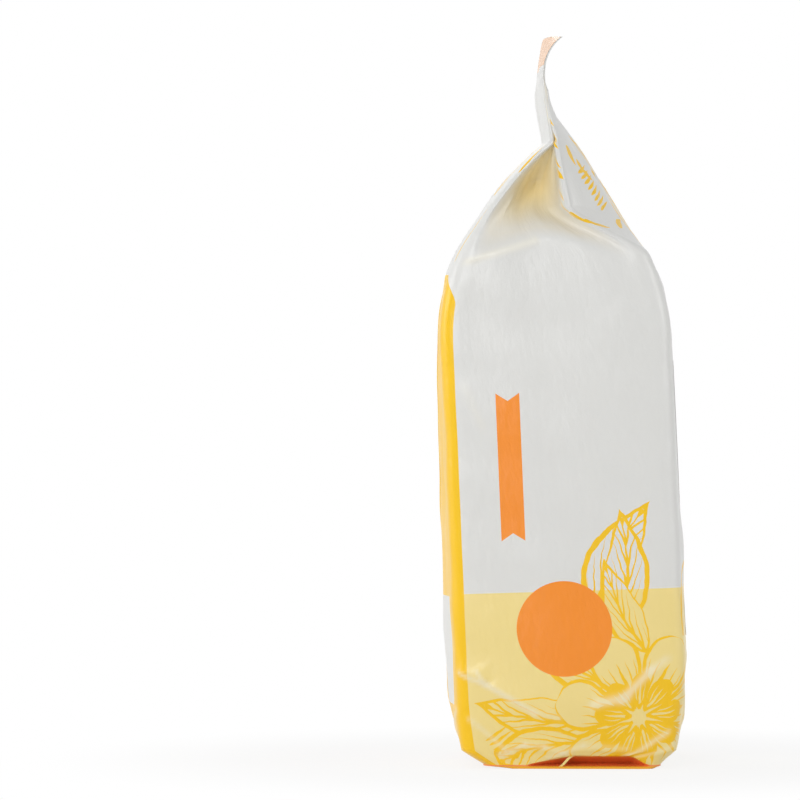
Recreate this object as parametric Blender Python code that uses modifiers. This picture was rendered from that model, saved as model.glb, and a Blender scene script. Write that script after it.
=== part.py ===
"""Wet wipes pack: a sealed film flow pack that stands on its folded bottom end, with its reseal label.

Metres, +Z up. X runs from the back panel to the front panel, and Y from the near side panel to the far one.
The origin is on the floor, under the middle of the pack's outline.
"""

import math

import bmesh
import bpy
from mathutils import Vector

# The filled body, measured between the corner folds of the film
THICKNESS = 0.0894
WIDTH = 0.104
SHOULDER_HEIGHT = 0.186
CORNER_RADIUS = 0.008
SHOULDER_ROUNDING = 0.009
SIDE_BULGE = 0.0012
FRONT_BULGE = 0.0022
BACK_BULGE = 0.0038
FULL_BULGE_HEIGHT = 0.030
BULGE_FADE_HEIGHT = 0.110
LEAN_DEGREES = 2.4

# The tapered top, where the front and back panels come together over the two tucked sides
BACK_ROOF_RISE = 0.055
FRONT_ROOF_RISE = 0.0765
BACK_ROOF_FULLNESS = 0.74
FRONT_ROOF_FULLNESS = 0.98
BACK_RIDGE_ROUNDING = 0.002
FRONT_RIDGE_ROUNDING = 0.004
ROOF_FOLD_RADIUS = 0.0016
TUCK_START_RISE = 0.003
TUCK_ARCH = 0.014
NEAR_TUCK_DEPTH = 0.030
FAR_TUCK_DEPTH = 0.017
TUCK_LOWER_FULLNESS = 3.0
TUCK_UPPER_FULLNESS = 1.3
LEAST_FOLD = 0.0007
SHOULDER_DRAW_IN = 0.004

# The pinched near corner of the front panel, which leaves a small ear beside the tuck
PINCH_DEPTH = 0.019
PINCH_RISE = 0.031
PINCH_REACH = 0.040

# The crimped end seal, which stands up behind the ridge and curls forward at its top
SEAL_HEIGHT = 0.021
SEAL_THICKNESS = 0.0012
SEAL_PUFF = 0.0009
SEAL_SETBACK = 0.0026
SETBACK_START_RISE = 0.019
NEAR_SWEEP = 0.0022
FAR_SWEEP = 0.0010
SEAL_CURL = 0.0039
SEAL_CURL_LENGTH = 0.0255
END_CURL = 0.0040
END_CURL_LENGTH = 0.0125
END_CURL_REACH = 0.036

# The bottom end seal, folded flat under the body
BASE_BACK_INSET = 0.0210
BASE_FRONT_INSET = 0.0142
FLAP_THICKNESS = 0.0009
BACK_TOE_INSET = 0.0028
BACK_TOE_HEIGHT = 0.026
BACK_CHAMFER_INSET = 0.0080
FRONT_TOE_INSET = 0.0060
FRONT_TOE_HEIGHT = 0.045
FRONT_CHAMFER_INSET = 0.0060
CHAMFER_HEIGHT = 0.0070
SIDE_TOE_INSET = 0.0030

# The shallow mouth that each side panel leaves over the folded flap, where it is tucked in
MOUTH_HEIGHT = 0.0036
MOUTH_DEPTH = 0.022
MOUTH_HALF_LENGTH = 0.027
MOUTH_OFFSET = 0.005
MOUTH_LEAST_GAP = 0.0006

# The back seam, a flat fin seal laid over to one side of the back panel's middle
SEAM_WIDTH = 0.011
SEAM_THICKNESS = 0.0007
SEAM_STEP = 0.0003

# The reseal label on the front panel, with its lift tab at the lower end
LABEL_WIDTH = 0.058
LABEL_LENGTH = 0.100
LABEL_CENTRE_HEIGHT = 0.108
LABEL_CORNER_RADIUS = 0.012
LABEL_THICKNESS = 0.0003
LABEL_CLEARANCE = 0.0003
TAB_WIDTH = 0.022
TAB_LENGTH = 0.009

# The printed fields of colour
PALE_FIELD_HEIGHT = 0.0675
BAND_SHARE = 0.08

# Heights over the floor that follow from the rises over the shoulder and the lengths of the seal
BACK_RIDGE_HEIGHT = SHOULDER_HEIGHT + BACK_ROOF_RISE
FRONT_RIDGE_HEIGHT = SHOULDER_HEIGHT + FRONT_ROOF_RISE
TUCK_START_HEIGHT = SHOULDER_HEIGHT + TUCK_START_RISE
PINCH_HEIGHT = SHOULDER_HEIGHT + PINCH_RISE
SETBACK_START_HEIGHT = SHOULDER_HEIGHT + SETBACK_START_RISE
TOP_HEIGHT = FRONT_RIDGE_HEIGHT + SEAL_HEIGHT
SEAL_CURL_HEIGHT = TOP_HEIGHT - SEAL_CURL_LENGTH
END_CURL_HEIGHT = TOP_HEIGHT - END_CURL_LENGTH

# How finely the film is divided
CORNER_STEPS = 4
SIDE_STEPS = 14
FRONT_STEPS = 18
BACK_HALF_STEPS = 8


def ramp(value, start, end):
    """0 before start, 1 after end, and a smooth S between them."""
    share = min(max((value - start) / (end - start), 0), 1)
    return share * share * (3 - 2 * share)


def fade(value, length):
    """1 at 0, falling in a straight line to 0 at length."""
    return max(1 - value / length, 0)


def soft_min(a, b, rounding):
    """The smaller of a and b, with the corner between them rounded off."""
    overlap = max(rounding - abs(a - b), 0)
    return min(a, b) - overlap * overlap / (4 * rounding)


def soft_max(a, b, rounding):
    return -soft_min(-a, -b, rounding)


def mix(a, b, share):
    return a + (b - a) * share


def over(z, start):
    """How far z is from start to the cut edge of the end seal: 0 at start and below, 1 at the cut edge."""
    return max((z - start) / (TOP_HEIGHT - start), 0)


def seal_half(z):
    """Half the thickness of the end seal, whose layers stand a little apart just above the ridge."""
    return SEAL_THICKNESS / 2 + SEAL_PUFF * (1 - ramp(z, BACK_RIDGE_HEIGHT, END_CURL_HEIGHT))


def roofed(z, ridge_height, fullness, ridge_rounding):
    """Half the thickness at height z: the body, then the roof panel that curves in to its ridge."""
    body = THICKNESS / 2
    left = (ridge_height - z) / (ridge_height - SHOULDER_HEIGHT)
    roof = body * math.copysign(abs(left) ** fullness, left)
    half = soft_min(body, roof, SHOULDER_ROUNDING)
    return soft_max(half, seal_half(z), ridge_rounding)


def toe(z, height, inset):
    """How far a panel is drawn in towards the folded bottom end."""
    return inset * fade(z, height) ** 1.5


def back_half(z):
    """Distance from the pack's middle plane out to the back panel's corner folds."""
    body = roofed(z, BACK_RIDGE_HEIGHT, BACK_ROOF_FULLNESS, BACK_RIDGE_ROUNDING)
    return body - toe(z, BACK_TOE_HEIGHT, BACK_TOE_INSET) - BACK_CHAMFER_INSET * fade(z, CHAMFER_HEIGHT)


def front_half(z):
    """Distance from the pack's middle plane out to the front panel's corner folds."""
    body = roofed(z, FRONT_RIDGE_HEIGHT, FRONT_ROOF_FULLNESS, FRONT_RIDGE_ROUNDING)
    return body - toe(z, FRONT_TOE_HEIGHT, FRONT_TOE_INSET) - FRONT_CHAMFER_INSET * fade(z, CHAMFER_HEIGHT)


def middle(z):
    """The middle plane leans back. The end seal stands a little behind it, and curls forward at its top."""
    lean = -math.tan(math.radians(LEAN_DEGREES)) * z
    setback = SEAL_SETBACK * ramp(z, SETBACK_START_HEIGHT, FRONT_RIDGE_HEIGHT)
    return lean - setback + SEAL_CURL * over(z, SEAL_CURL_HEIGHT) ** 2


def side_distance(z):
    """Distance from the middle out to the folds of the near and far side panels."""
    drawn_in = toe(z, BACK_TOE_HEIGHT, SIDE_TOE_INSET)
    return WIDTH / 2 - drawn_in - SHOULDER_DRAW_IN * ramp(z, SHOULDER_HEIGHT, BACK_RIDGE_HEIGHT)


def corner_size(z):
    """The corner folds are round on the body and sharpen on the way up to the seal."""
    sharpening = ramp(z, SHOULDER_HEIGHT, PINCH_HEIGHT)
    room = 0.9 * min(back_half(z), front_half(z))
    return min(mix(CORNER_RADIUS, ROOF_FOLD_RADIUS, sharpening), room)


def tuck(z, share, depth):
    """How far a side panel is tucked in at height z: it starts under an arch and ends inside the seal."""
    from_middle = abs(2 * share - 1)
    start = TUCK_START_HEIGHT + TUCK_ARCH * (1 - from_middle**2)
    opening = ramp(z, start, BACK_RIDGE_HEIGHT - SHOULDER_ROUNDING)
    closing = ramp(z, BACK_RIDGE_HEIGHT - LEAST_FOLD, FRONT_RIDGE_HEIGHT)
    climb = ramp(z, TUCK_START_HEIGHT, BACK_RIDGE_HEIGHT)
    fullness = mix(TUCK_LOWER_FULLNESS, TUCK_UPPER_FULLNESS, climb)
    return depth * opening * (1 - closing) * (1 - from_middle**fullness)


def pinch(z):
    """How far the near corner of the front panel is drawn in."""
    rise = ramp(z, SHOULDER_HEIGHT + SHOULDER_ROUNDING, PINCH_HEIGHT)
    fall = fade(max(z - PINCH_HEIGHT, 0), FRONT_RIDGE_HEIGHT - PINCH_HEIGHT)
    room = front_half(z) - seal_half(z)
    return min(PINCH_DEPTH * rise * fall, room)


def panel_bulge(z, share, size):
    """The pillow of a panel: fullest low on the body, and flat at its folds and in the seal."""
    across = 1 - (2 * share - 1) ** 2
    filling = ramp(z, 0, FULL_BULGE_HEIGHT) * (1 - ramp(z, BULGE_FADE_HEIGHT, BACK_RIDGE_HEIGHT))
    return size * across * filling


def seal_sweep(y, z):
    """How far the two ends of the end seal are swept forward of its middle."""
    sweep = NEAR_SWEEP if y < 0 else FAR_SWEEP
    return sweep * ramp(z, SHOULDER_HEIGHT, BACK_RIDGE_HEIGHT) * (y / side_distance(z)) ** 2


def end_curl(y, z):
    """How far the near corner of the end seal is curled forward."""
    along = fade(max(side_distance(z) + y, 0), END_CURL_REACH) ** 2
    return END_CURL * along * over(z, END_CURL_HEIGHT) ** 2


def side_point(z, share, near):
    """A point of the near or far side panel, from its back fold at 0 to its front fold at 1."""
    size = corner_size(z)
    back = -back_half(z) + size
    front = front_half(z) - size - (pinch(z) if near else 0)
    room = max(front - back, SEAL_THICKNESS / 10)
    x = (back + front) / 2 + (share - 0.5) * room
    depth = tuck(z, share, NEAR_TUCK_DEPTH if near else FAR_TUCK_DEPTH)
    y = side_distance(z) + panel_bulge(z, share, SIDE_BULGE) - depth
    return Vector((x, -y if near else y))


def front_point(z, share):
    """A point of the front panel, from its near fold at 0 to its far fold at 1."""
    inset = corner_size(z)
    y = mix(inset - side_distance(z), side_distance(z) - inset, share)
    reach = min(PINCH_REACH / (2 * side_distance(z)), 1)
    x = front_half(z) + panel_bulge(z, share, FRONT_BULGE) - pinch(z) * fade(share, reach) ** 2
    return Vector((x, y))


def back_point(z, share):
    """A point of the back panel, from its far fold at 0 to its near fold at 1."""
    inset = corner_size(z)
    y = mix(side_distance(z) - inset, inset - side_distance(z), share)
    return Vector((-back_half(z) - panel_bulge(z, share, BACK_BULGE), y))


def seam_height(z):
    """The back seam stands proud of the back panel, and runs out at the bottom fold and the end seal."""
    start = ramp(z, CHAMFER_HEIGHT, BACK_TOE_HEIGHT)
    end = ramp(z, SHOULDER_HEIGHT, BACK_RIDGE_HEIGHT)
    return SEAM_THICKNESS * start * (1 - end)


def corner_points(start, end, tip):
    """The points of one corner fold between two panels, on a curve drawn towards its tip."""
    points = []
    for step in range(1, CORNER_STEPS):
        share = step / CORNER_STEPS
        points.append(mix(mix(start, tip, share), mix(tip, end, share), share))
    return points


def shares(steps):
    return [step / steps for step in range(steps + 1)]


def outline(z):
    """The film's closed outline at height z as plan points, anticlockwise from the near side's back fold."""
    near = [side_point(z, share, True) for share in shares(SIDE_STEPS)]
    front = [front_point(z, share) for share in shares(FRONT_STEPS)]
    far = [side_point(z, 1 - share, False) for share in shares(SIDE_STEPS)]
    back_width = 2 * (side_distance(z) - corner_size(z))
    seam_half = SEAM_WIDTH / 2 / back_width
    step_share = SEAM_STEP / back_width
    far_half = [mix(0, 0.5 - seam_half, share) for share in shares(BACK_HALF_STEPS)]
    near_half = [mix(0.5 + seam_half, 1, share) for share in shares(BACK_HALF_STEPS)]
    back = [back_point(z, share) for share in far_half]
    for share in (0.5 - seam_half + step_share, 0.5 + seam_half - step_share):
        point = back_point(z, share)
        point.x -= seam_height(z)
        back.append(point)
    back += [back_point(z, share) for share in near_half]
    near_tip = Vector((front[0].x, -side_distance(z)))
    far_tip = Vector((front[-1].x, side_distance(z)))
    back_far_tip = Vector((back[0].x, side_distance(z)))
    back_near_tip = Vector((back[-1].x, -side_distance(z)))
    points = near + corner_points(near[-1], front[0], near_tip)
    points += front + corner_points(front[-1], far[0], far_tip)
    points += far + corner_points(far[-1], back[0], back_far_tip)
    points += back + corner_points(back[-1], near[0], back_near_tip)
    return points


def placed(point, z):
    """A plan point stood at height z, with the pack's lean and the sweep and curl of its end seal."""
    curl = end_curl(point.y, z)
    drop = curl * curl / (2 * (TOP_HEIGHT - END_CURL_HEIGHT))
    return Vector((point.x + middle(z) + seal_sweep(point.y, z) + curl, point.y, z - drop))


def base_ring():
    """The folded flap lies flat on the floor, short of the body at the back and at the front."""
    points = [placed(point, 0) for point in outline(0)]
    back_limit = BASE_BACK_INSET - THICKNESS / 2
    front_limit = THICKNESS / 2 - BASE_FRONT_INSET
    for point in points:
        point.x = min(max(point.x, back_limit), front_limit)
    return points


def mouth_openness(point):
    """1 where the mouth under a side panel is most open, and 0 beyond its ends and off the side panels."""
    offset = (point.x - MOUTH_OFFSET) / MOUTH_HALF_LENGTH
    fold = side_distance(0) - CORNER_RADIUS
    on_side = ramp(abs(point.y), fold, fold + CORNER_RADIUS - SIDE_TOE_INSET)
    return max(1 - offset * offset, 0) * on_side


def mouth_ring(depth_share, height_share, height):
    """A ring of the mouth, moved in and up by these shares of its depth and its height."""
    ring = []
    for point in outline(FLAP_THICKNESS):
        openness = mouth_openness(point)
        y = abs(point.y) - MOUTH_DEPTH * depth_share * openness
        lift = Vector((0, 0, height + MOUTH_HEIGHT * height_share * openness))
        ring.append(placed(Vector((point.x, math.copysign(y, point.y))), FLAP_THICKNESS) + lift)
    return ring


def spaced(start, end, steps):
    """Heights from just above start up to end."""
    return [mix(start, end, step / steps) for step in range(1, steps + 1)]


def body_heights():
    heights = [CHAMFER_HEIGHT]
    heights += spaced(CHAMFER_HEIGHT, BACK_TOE_HEIGHT, 4)
    heights += spaced(BACK_TOE_HEIGHT, PALE_FIELD_HEIGHT, 2)
    heights += spaced(PALE_FIELD_HEIGHT, SHOULDER_HEIGHT - SHOULDER_ROUNDING, 6)
    heights += spaced(SHOULDER_HEIGHT - SHOULDER_ROUNDING, FRONT_RIDGE_HEIGHT, 24)
    heights += spaced(FRONT_RIDGE_HEIGHT, TOP_HEIGHT, 6)
    return heights


def wrapper_rings():
    """Every ring of the wrapper, from the floor up."""
    rings = [base_ring()]
    rings.append(mouth_ring(0, 0, 0))
    rings.append(mouth_ring(1, 0.25, MOUTH_LEAST_GAP / 2))
    rings.append(mouth_ring(0, 1, MOUTH_LEAST_GAP))
    for z in body_heights():
        rings.append([placed(point, z) for point in outline(z)])
    return rings


def colour_of_face(centre):
    """Index of a face's printed field: 0 white, 1 pale yellow, 2 golden band, 3 orange."""
    x = centre.x - middle(centre.z)
    side = side_distance(centre.z)
    on_side = abs(centre.y) > side - CORNER_RADIUS
    if SHOULDER_HEIGHT + SHOULDER_ROUNDING < centre.z:
        return 0
    if x < -back_half(centre.z) + CORNER_RADIUS / 4 and not on_side:
        return 3
    if on_side and x < -back_half(centre.z) + CORNER_RADIUS + BAND_SHARE * THICKNESS:
        return 2
    return 1 if centre.z < PALE_FIELD_HEIGHT else 0


def material(name, colour, roughness):
    made = bpy.data.materials.new(name)
    made.use_nodes = True
    shader = made.node_tree.nodes["Principled BSDF"]
    shader.inputs["Base Color"].default_value = (*colour, 1)
    shader.inputs["Roughness"].default_value = roughness
    shader.inputs["Metallic"].default_value = 0
    made.diffuse_color = (*colour, 1)
    return made


def footprint_shift(rings):
    """The move that puts the middle of the pack's outline over the origin."""
    xs = [point.x for ring in rings for point in ring]
    ys = [point.y for ring in rings for point in ring]
    return Vector((-(min(xs) + max(xs)) / 2, -(min(ys) + max(ys)) / 2, 0))


def add_object(name, mesh, collection):
    made = bpy.data.objects.new(name, mesh)
    collection.objects.link(made)
    return made


def build_wrapper(collection, rings, shift):
    """The film: a loft through its rings, closed by the folded base and by the cut edge of the top seal."""
    net = bmesh.new()
    rows = [[net.verts.new(point + shift) for point in ring] for ring in rings]
    count = len(rows[0])
    for lower, upper in zip(rows, rows[1:]):
        for i in range(count):
            j = (i + 1) % count
            net.faces.new((lower[i], lower[j], upper[j], upper[i]))
    net.faces.new(list(reversed(rows[0])))
    net.faces.new(rows[-1])
    for face in net.faces:
        face.material_index = colour_of_face(face.calc_center_median() - shift)
    mesh = bpy.data.meshes.new("wrapper")
    net.to_mesh(mesh)
    net.free()
    mesh.materials.append(material("white film", (0.86, 0.86, 0.85), 0.35))
    mesh.materials.append(material("pale yellow print", (0.84, 0.69, 0.26), 0.35))
    mesh.materials.append(material("golden print", (0.86, 0.55, 0.02), 0.35))
    mesh.materials.append(material("orange print", (0.90, 0.26, 0.03), 0.35))
    mesh.shade_smooth()
    mesh.set_sharp_from_angle(angle=math.radians(35))
    return add_object("wrapper", mesh, collection)


def label_half_width(distance):
    """Half the label's width at a distance from its tab's end: the tab, then the rounded body."""
    tab_half = TAB_WIDTH / 2
    body_distance = distance - TAB_LENGTH
    if body_distance <= 0:
        rounding = max(tab_half - distance, 0)
        return max(math.sqrt(tab_half**2 - rounding**2), tab_half / 4)
    from_end = min(body_distance, LABEL_LENGTH - body_distance)
    rounding = max(LABEL_CORNER_RADIUS - from_end, 0)
    inset = LABEL_CORNER_RADIUS - math.sqrt(LABEL_CORNER_RADIUS**2 - rounding**2)
    return LABEL_WIDTH / 2 - inset


def front_surface(y, z):
    """The point of the front panel at y and z."""
    flat_half = side_distance(z) - corner_size(z)
    share = (y + flat_half) / (2 * flat_half)
    return placed(front_point(z, share), z)


def build_label(collection, shift):
    """The label: a sheet of card-thin film that follows the front panel, a hair clear of it."""
    across = 12
    distances = [TAB_LENGTH * step / 4 for step in range(4)]
    distances += [TAB_LENGTH + share * LABEL_CORNER_RADIUS for share in (0.02, 0.12, 0.3, 0.6)]
    label_end = TAB_LENGTH + LABEL_LENGTH
    distances += spaced(TAB_LENGTH + LABEL_CORNER_RADIUS, label_end - LABEL_CORNER_RADIUS, 10)
    distances += [label_end - share * LABEL_CORNER_RADIUS for share in (0.6, 0.3, 0.12, 0.02)]
    lower_end = LABEL_CENTRE_HEIGHT - LABEL_LENGTH / 2 - TAB_LENGTH
    net = bmesh.new()
    bmesh.ops.create_grid(net, x_segments=across, y_segments=len(distances) - 1, size=1)
    net.verts.ensure_lookup_table()
    for index, vertex in enumerate(net.verts):
        row, column = divmod(index, across + 1)
        half_width = label_half_width(distances[row])
        y = mix(-half_width, half_width, column / across)
        surface = front_surface(y, lower_end + distances[row])
        vertex.co = surface + shift + Vector((LABEL_CLEARANCE, 0, 0))
    mesh = bpy.data.meshes.new("reseal_label")
    net.to_mesh(mesh)
    net.free()
    mesh.materials.append(material("label film", (0.88, 0.88, 0.87), 0.3))
    mesh.shade_smooth()
    label = add_object("reseal_label", mesh, collection)
    thickness = label.modifiers.new("thickness", "SOLIDIFY")
    thickness.thickness = LABEL_THICKNESS
    thickness.offset = 1
    thickness.use_even_offset = False
    return label


def main():
    for old in list(bpy.data.objects):
        bpy.data.objects.remove(old)
    collection = bpy.data.collections.new("wet wipes pack")
    bpy.context.scene.collection.children.link(collection)
    rings = wrapper_rings()
    shift = footprint_shift(rings)
    build_wrapper(collection, rings, shift)
    build_label(collection, shift)


main()
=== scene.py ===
"""Wet wipes pack: the finished look of a sealed film flow pack, standing on its folded bottom end.

Metres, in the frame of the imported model: X from the back to the front, Y from the near side to the far one.
"""

import math

import bmesh
import bpy
import numpy as np
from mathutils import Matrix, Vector


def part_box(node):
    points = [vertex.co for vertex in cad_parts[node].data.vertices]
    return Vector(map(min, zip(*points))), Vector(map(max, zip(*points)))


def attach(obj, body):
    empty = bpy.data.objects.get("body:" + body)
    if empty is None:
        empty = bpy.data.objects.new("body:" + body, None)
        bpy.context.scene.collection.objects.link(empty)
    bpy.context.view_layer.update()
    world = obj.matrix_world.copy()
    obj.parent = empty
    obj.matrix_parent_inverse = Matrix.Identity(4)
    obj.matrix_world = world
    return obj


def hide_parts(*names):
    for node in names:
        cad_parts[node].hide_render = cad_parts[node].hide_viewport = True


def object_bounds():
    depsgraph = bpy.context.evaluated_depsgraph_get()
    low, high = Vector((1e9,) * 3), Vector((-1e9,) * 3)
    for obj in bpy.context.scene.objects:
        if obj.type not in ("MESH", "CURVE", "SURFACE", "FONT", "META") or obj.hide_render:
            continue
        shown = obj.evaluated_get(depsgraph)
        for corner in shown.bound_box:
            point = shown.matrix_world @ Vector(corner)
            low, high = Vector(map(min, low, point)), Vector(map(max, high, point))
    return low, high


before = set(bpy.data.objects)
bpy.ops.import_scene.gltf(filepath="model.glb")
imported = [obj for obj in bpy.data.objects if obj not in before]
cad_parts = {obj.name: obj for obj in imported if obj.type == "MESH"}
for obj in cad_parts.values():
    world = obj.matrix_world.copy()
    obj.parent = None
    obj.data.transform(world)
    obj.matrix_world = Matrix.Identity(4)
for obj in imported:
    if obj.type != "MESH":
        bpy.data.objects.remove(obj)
cad_low, cad_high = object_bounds()


# Camera
# A long lens, level with the middle of the pack and square to its near side panel. It is turned a
# little to the left of the pack, because the pack stands right of the middle of the picture.
PICTURE_PIXELS = 800
PIXEL_SIZE = 0.000385
FLOOR_PIXEL_ROW = 769.5
PACK_PIXEL_COLUMN = 562.0
CAMERA_DISTANCE = 1.9
SENSOR_WIDTH = 36.0
CLIP_END = 50.0


def stood(name, data):
    """A new object in the scene."""
    thing = bpy.data.objects.new(name, data)
    bpy.context.scene.collection.objects.link(thing)
    return thing


camera_data = bpy.data.cameras.new("camera")
camera_data.sensor_width = SENSOR_WIDTH
camera_data.lens = SENSOR_WIDTH * CAMERA_DISTANCE / (PICTURE_PIXELS * PIXEL_SIZE)
camera_data.clip_end = CLIP_END
camera = stood("camera", camera_data)
aside = (PACK_PIXEL_COLUMN - PICTURE_PIXELS / 2) * PIXEL_SIZE
camera_height = (FLOOR_PIXEL_ROW - PICTURE_PIXELS / 2) * PIXEL_SIZE
camera.location = (0, cad_low.y - CAMERA_DISTANCE, camera_height)
camera.rotation_euler = (math.radians(90), 0, math.atan2(aside, CAMERA_DISTANCE))
bpy.context.scene.camera = camera


# Wrapper
# One web of printed laminate film about 0.1 mm thick, formed round the stack of wipes. Its two edges are
# sealed together down the back, both ends are crimped shut, and the sides are tucked in at both ends.
# The body's sizes come first, then the roof and its tucks, the end seal, the foot, and the mesh.
THICKNESS = 0.0894
WIDTH = 0.104
CORNER_RADIUS = 0.008
SHOULDER_HEIGHT = 0.186
SHOULDER_ROUNDING = 0.012
SIDE_BULGE = 0.0012
FRONT_BULGE = 0.0012
BACK_BULGE = 0.0030
FULL_BULGE_HEIGHT = 0.030
BULGE_FADE_HEIGHT = 0.110
SAG = 0.35
LEAN = math.tan(math.radians(2.4))

BACK_RIDGE_HEIGHT = 0.2425
FRONT_RIDGE_HEIGHT = 0.2615
BACK_ROOF_FULLNESS = 0.74
FRONT_ROOF_FULLNESS = 1.03
BACK_RIDGE_ROUNDING = 0.002
FRONT_RIDGE_ROUNDING = 0.004
ROOF_FOLD_RADIUS = 0.0023
TUCK_START_HEIGHT = 0.189
TUCK_ARCH = 0.014
TUCK_LOWER_FULLNESS = 3.0
TUCK_UPPER_FULLNESS = 1.3
NEAR_TUCK_DEPTH = 0.020
FAR_TUCK_DEPTH = 0.017
SEAL_TUCK_SHARE = 0.07
TUCK_CLOSING_START = 0.226
TUCK_CLOSING_END = 0.250
SHOULDER_DRAW_IN = 0.004
PINCH_DEPTH = 0.019
PINCH_HEIGHT = 0.217
PINCH_REACH = 0.040

TOP_HEIGHT = 0.2835
SEAL_THICKNESS = 0.0010
SEAL_PUFF = 0.0009
SEAL_SETBACK = 0.0031
SETBACK_START_HEIGHT = 0.238
SETBACK_END_HEIGHT = 0.270
NEAR_SWEEP = 0.0022
FAR_SWEEP = 0.0010
SEAL_CURL = 0.0031
SEAL_CURL_HEIGHT = 0.258
END_CURL = 0.0050
END_CURL_HEIGHT = 0.271
END_CURL_REACH = 0.036

BACK_TOE_HEIGHT = 0.026
BACK_TOE_INSET = 0.0028
FRONT_TOE_HEIGHT = 0.045
FRONT_TOE_INSET = 0.0060
SIDE_TOE_INSET = 0.0030
CHAMFER_HEIGHT = 0.0070
BACK_CHAMFER_INSET = 0.0080
FRONT_CHAMFER_INSET = 0.0060
BASE_BACK_INSET = 0.0210
BASE_FRONT_INSET = 0.0142
FLAP_THICKNESS = 0.0009
MOUTH_HEIGHT = 0.0036
MOUTH_DEPTH = 0.010
MOUTH_BACK = -0.018
MOUTH_PEAK = 0.0
MOUTH_FULL_END = 0.021
MOUTH_FRONT = 0.030
MOUTH_LEAST_GAP = 0.0006

CORNER_COLUMNS = 8
SIDE_COLUMNS = 76
FRONT_COLUMNS = 78
FLAP_COLUMNS = 7
BACK_HALF_COLUMNS = FRONT_COLUMNS // 2
BASE_ROW_STEP = 0.0010
CREASED_HEIGHT = 0.046
BODY_ROW_STEP = 0.0021
ROOF_ROW_STEP = 0.00072
SEAL_ROW_STEP = 0.0011
SEAM_WIDTH = 0.011
SEAM_LIFT = 0.0005
SEAM_EDGE_LIFT = 0.0003
SEAM_UNDER_SHARE = 0.45
PRINT_TILT = math.tan(math.radians(1.8))
SEAM_SETTLING = 0.6
TOE_POWER = 1.5
CORNER_MOST = 0.9
MOUTH_RISE_POWER = 0.8
MOUTH_FLOOR_SLOPE = 0.1
MOUTH_ROOF_SLOPE = 0.75
MM = 1000.0


def ramp(value, start, end):
    """0 before start, 1 after end, and a smooth S between them."""
    share = np.clip((value - start) / (end - start), 0, 1)
    return share * share * (3 - 2 * share)


def over(z, start):
    """How far z is from start to the cut edge of the end seal: 0 at start and below, 1 at the cut edge."""
    return max((z - start) / (TOP_HEIGHT - start), 0)


def soft_min(a, b, rounding):
    """The smaller of a and b, with the corner between them rounded off."""
    overlap = max(rounding - abs(a - b), 0)
    return min(a, b) - overlap * overlap / (4 * rounding)


def seal_half(z):
    """Half the thickness of the end seal, whose layers stand a little apart just above the ridge."""
    return SEAL_THICKNESS / 2 + SEAL_PUFF * (1 - ramp(z, BACK_RIDGE_HEIGHT, END_CURL_HEIGHT))


def roofed(z, ridge_height, fullness, ridge_rounding):
    """Half the thickness at height z: the body, then the roof panel that curves in to its ridge."""
    body = THICKNESS / 2
    left = (ridge_height - z) / (ridge_height - SHOULDER_HEIGHT)
    roof = body * math.copysign(abs(left) ** fullness, left)
    half = soft_min(body, roof, SHOULDER_ROUNDING)
    return -soft_min(-half, -seal_half(z), ridge_rounding)


def drawn_in(z, height, inset):
    """How far a panel is drawn in towards the folded bottom end."""
    return inset * max(1 - z / height, 0) ** TOE_POWER


def back_half(z):
    body = roofed(z, BACK_RIDGE_HEIGHT, BACK_ROOF_FULLNESS, BACK_RIDGE_ROUNDING)
    chamfer = BACK_CHAMFER_INSET * max(1 - z / CHAMFER_HEIGHT, 0)
    return body - drawn_in(z, BACK_TOE_HEIGHT, BACK_TOE_INSET) - chamfer


def front_half(z):
    body = roofed(z, FRONT_RIDGE_HEIGHT, FRONT_ROOF_FULLNESS, FRONT_RIDGE_ROUNDING)
    chamfer = FRONT_CHAMFER_INSET * max(1 - z / CHAMFER_HEIGHT, 0)
    return body - drawn_in(z, FRONT_TOE_HEIGHT, FRONT_TOE_INSET) - chamfer


def middle(z):
    """The middle plane leans back. The end seal stands a little behind it, and curls forward at its top."""
    setback = SEAL_SETBACK * ramp(z, SETBACK_START_HEIGHT, SETBACK_END_HEIGHT)
    return -LEAN * z - setback + SEAL_CURL * over(z, SEAL_CURL_HEIGHT) ** 2


def side_distance(z):
    toe = drawn_in(z, BACK_TOE_HEIGHT, SIDE_TOE_INSET)
    return WIDTH / 2 - toe - SHOULDER_DRAW_IN * ramp(z, SHOULDER_HEIGHT, BACK_RIDGE_HEIGHT)


def corner_size(z):
    """The corner folds are round on the body and sharpen on the way up to the seal."""
    size = CORNER_RADIUS + (ROOF_FOLD_RADIUS - CORNER_RADIUS) * ramp(z, SHOULDER_HEIGHT, PINCH_HEIGHT)
    return min(size, CORNER_MOST * min(back_half(z), front_half(z)))


def tucked_share(z, share):
    """How fully a side panel is tucked in, 0 to 1: from an arch over the shoulder up into the seal."""
    from_middle = abs(2 * share - 1)
    start = TUCK_START_HEIGHT + TUCK_ARCH * (1 - from_middle**2)
    opening = ramp(z, start, BACK_RIDGE_HEIGHT - SHOULDER_ROUNDING)
    climb = ramp(z, TUCK_START_HEIGHT, BACK_RIDGE_HEIGHT)
    fullness = TUCK_LOWER_FULLNESS + (TUCK_UPPER_FULLNESS - TUCK_LOWER_FULLNESS) * climb
    return opening * (1 - from_middle**fullness)


def tuck(z, share, depth):
    """How far a side panel is tucked in. It is pressed shut on the way up into the seal."""
    closing = (1 - SEAL_TUCK_SHARE) * ramp(z, TUCK_CLOSING_START, TUCK_CLOSING_END)
    return depth * tucked_share(z, share) * (1 - closing)


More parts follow.
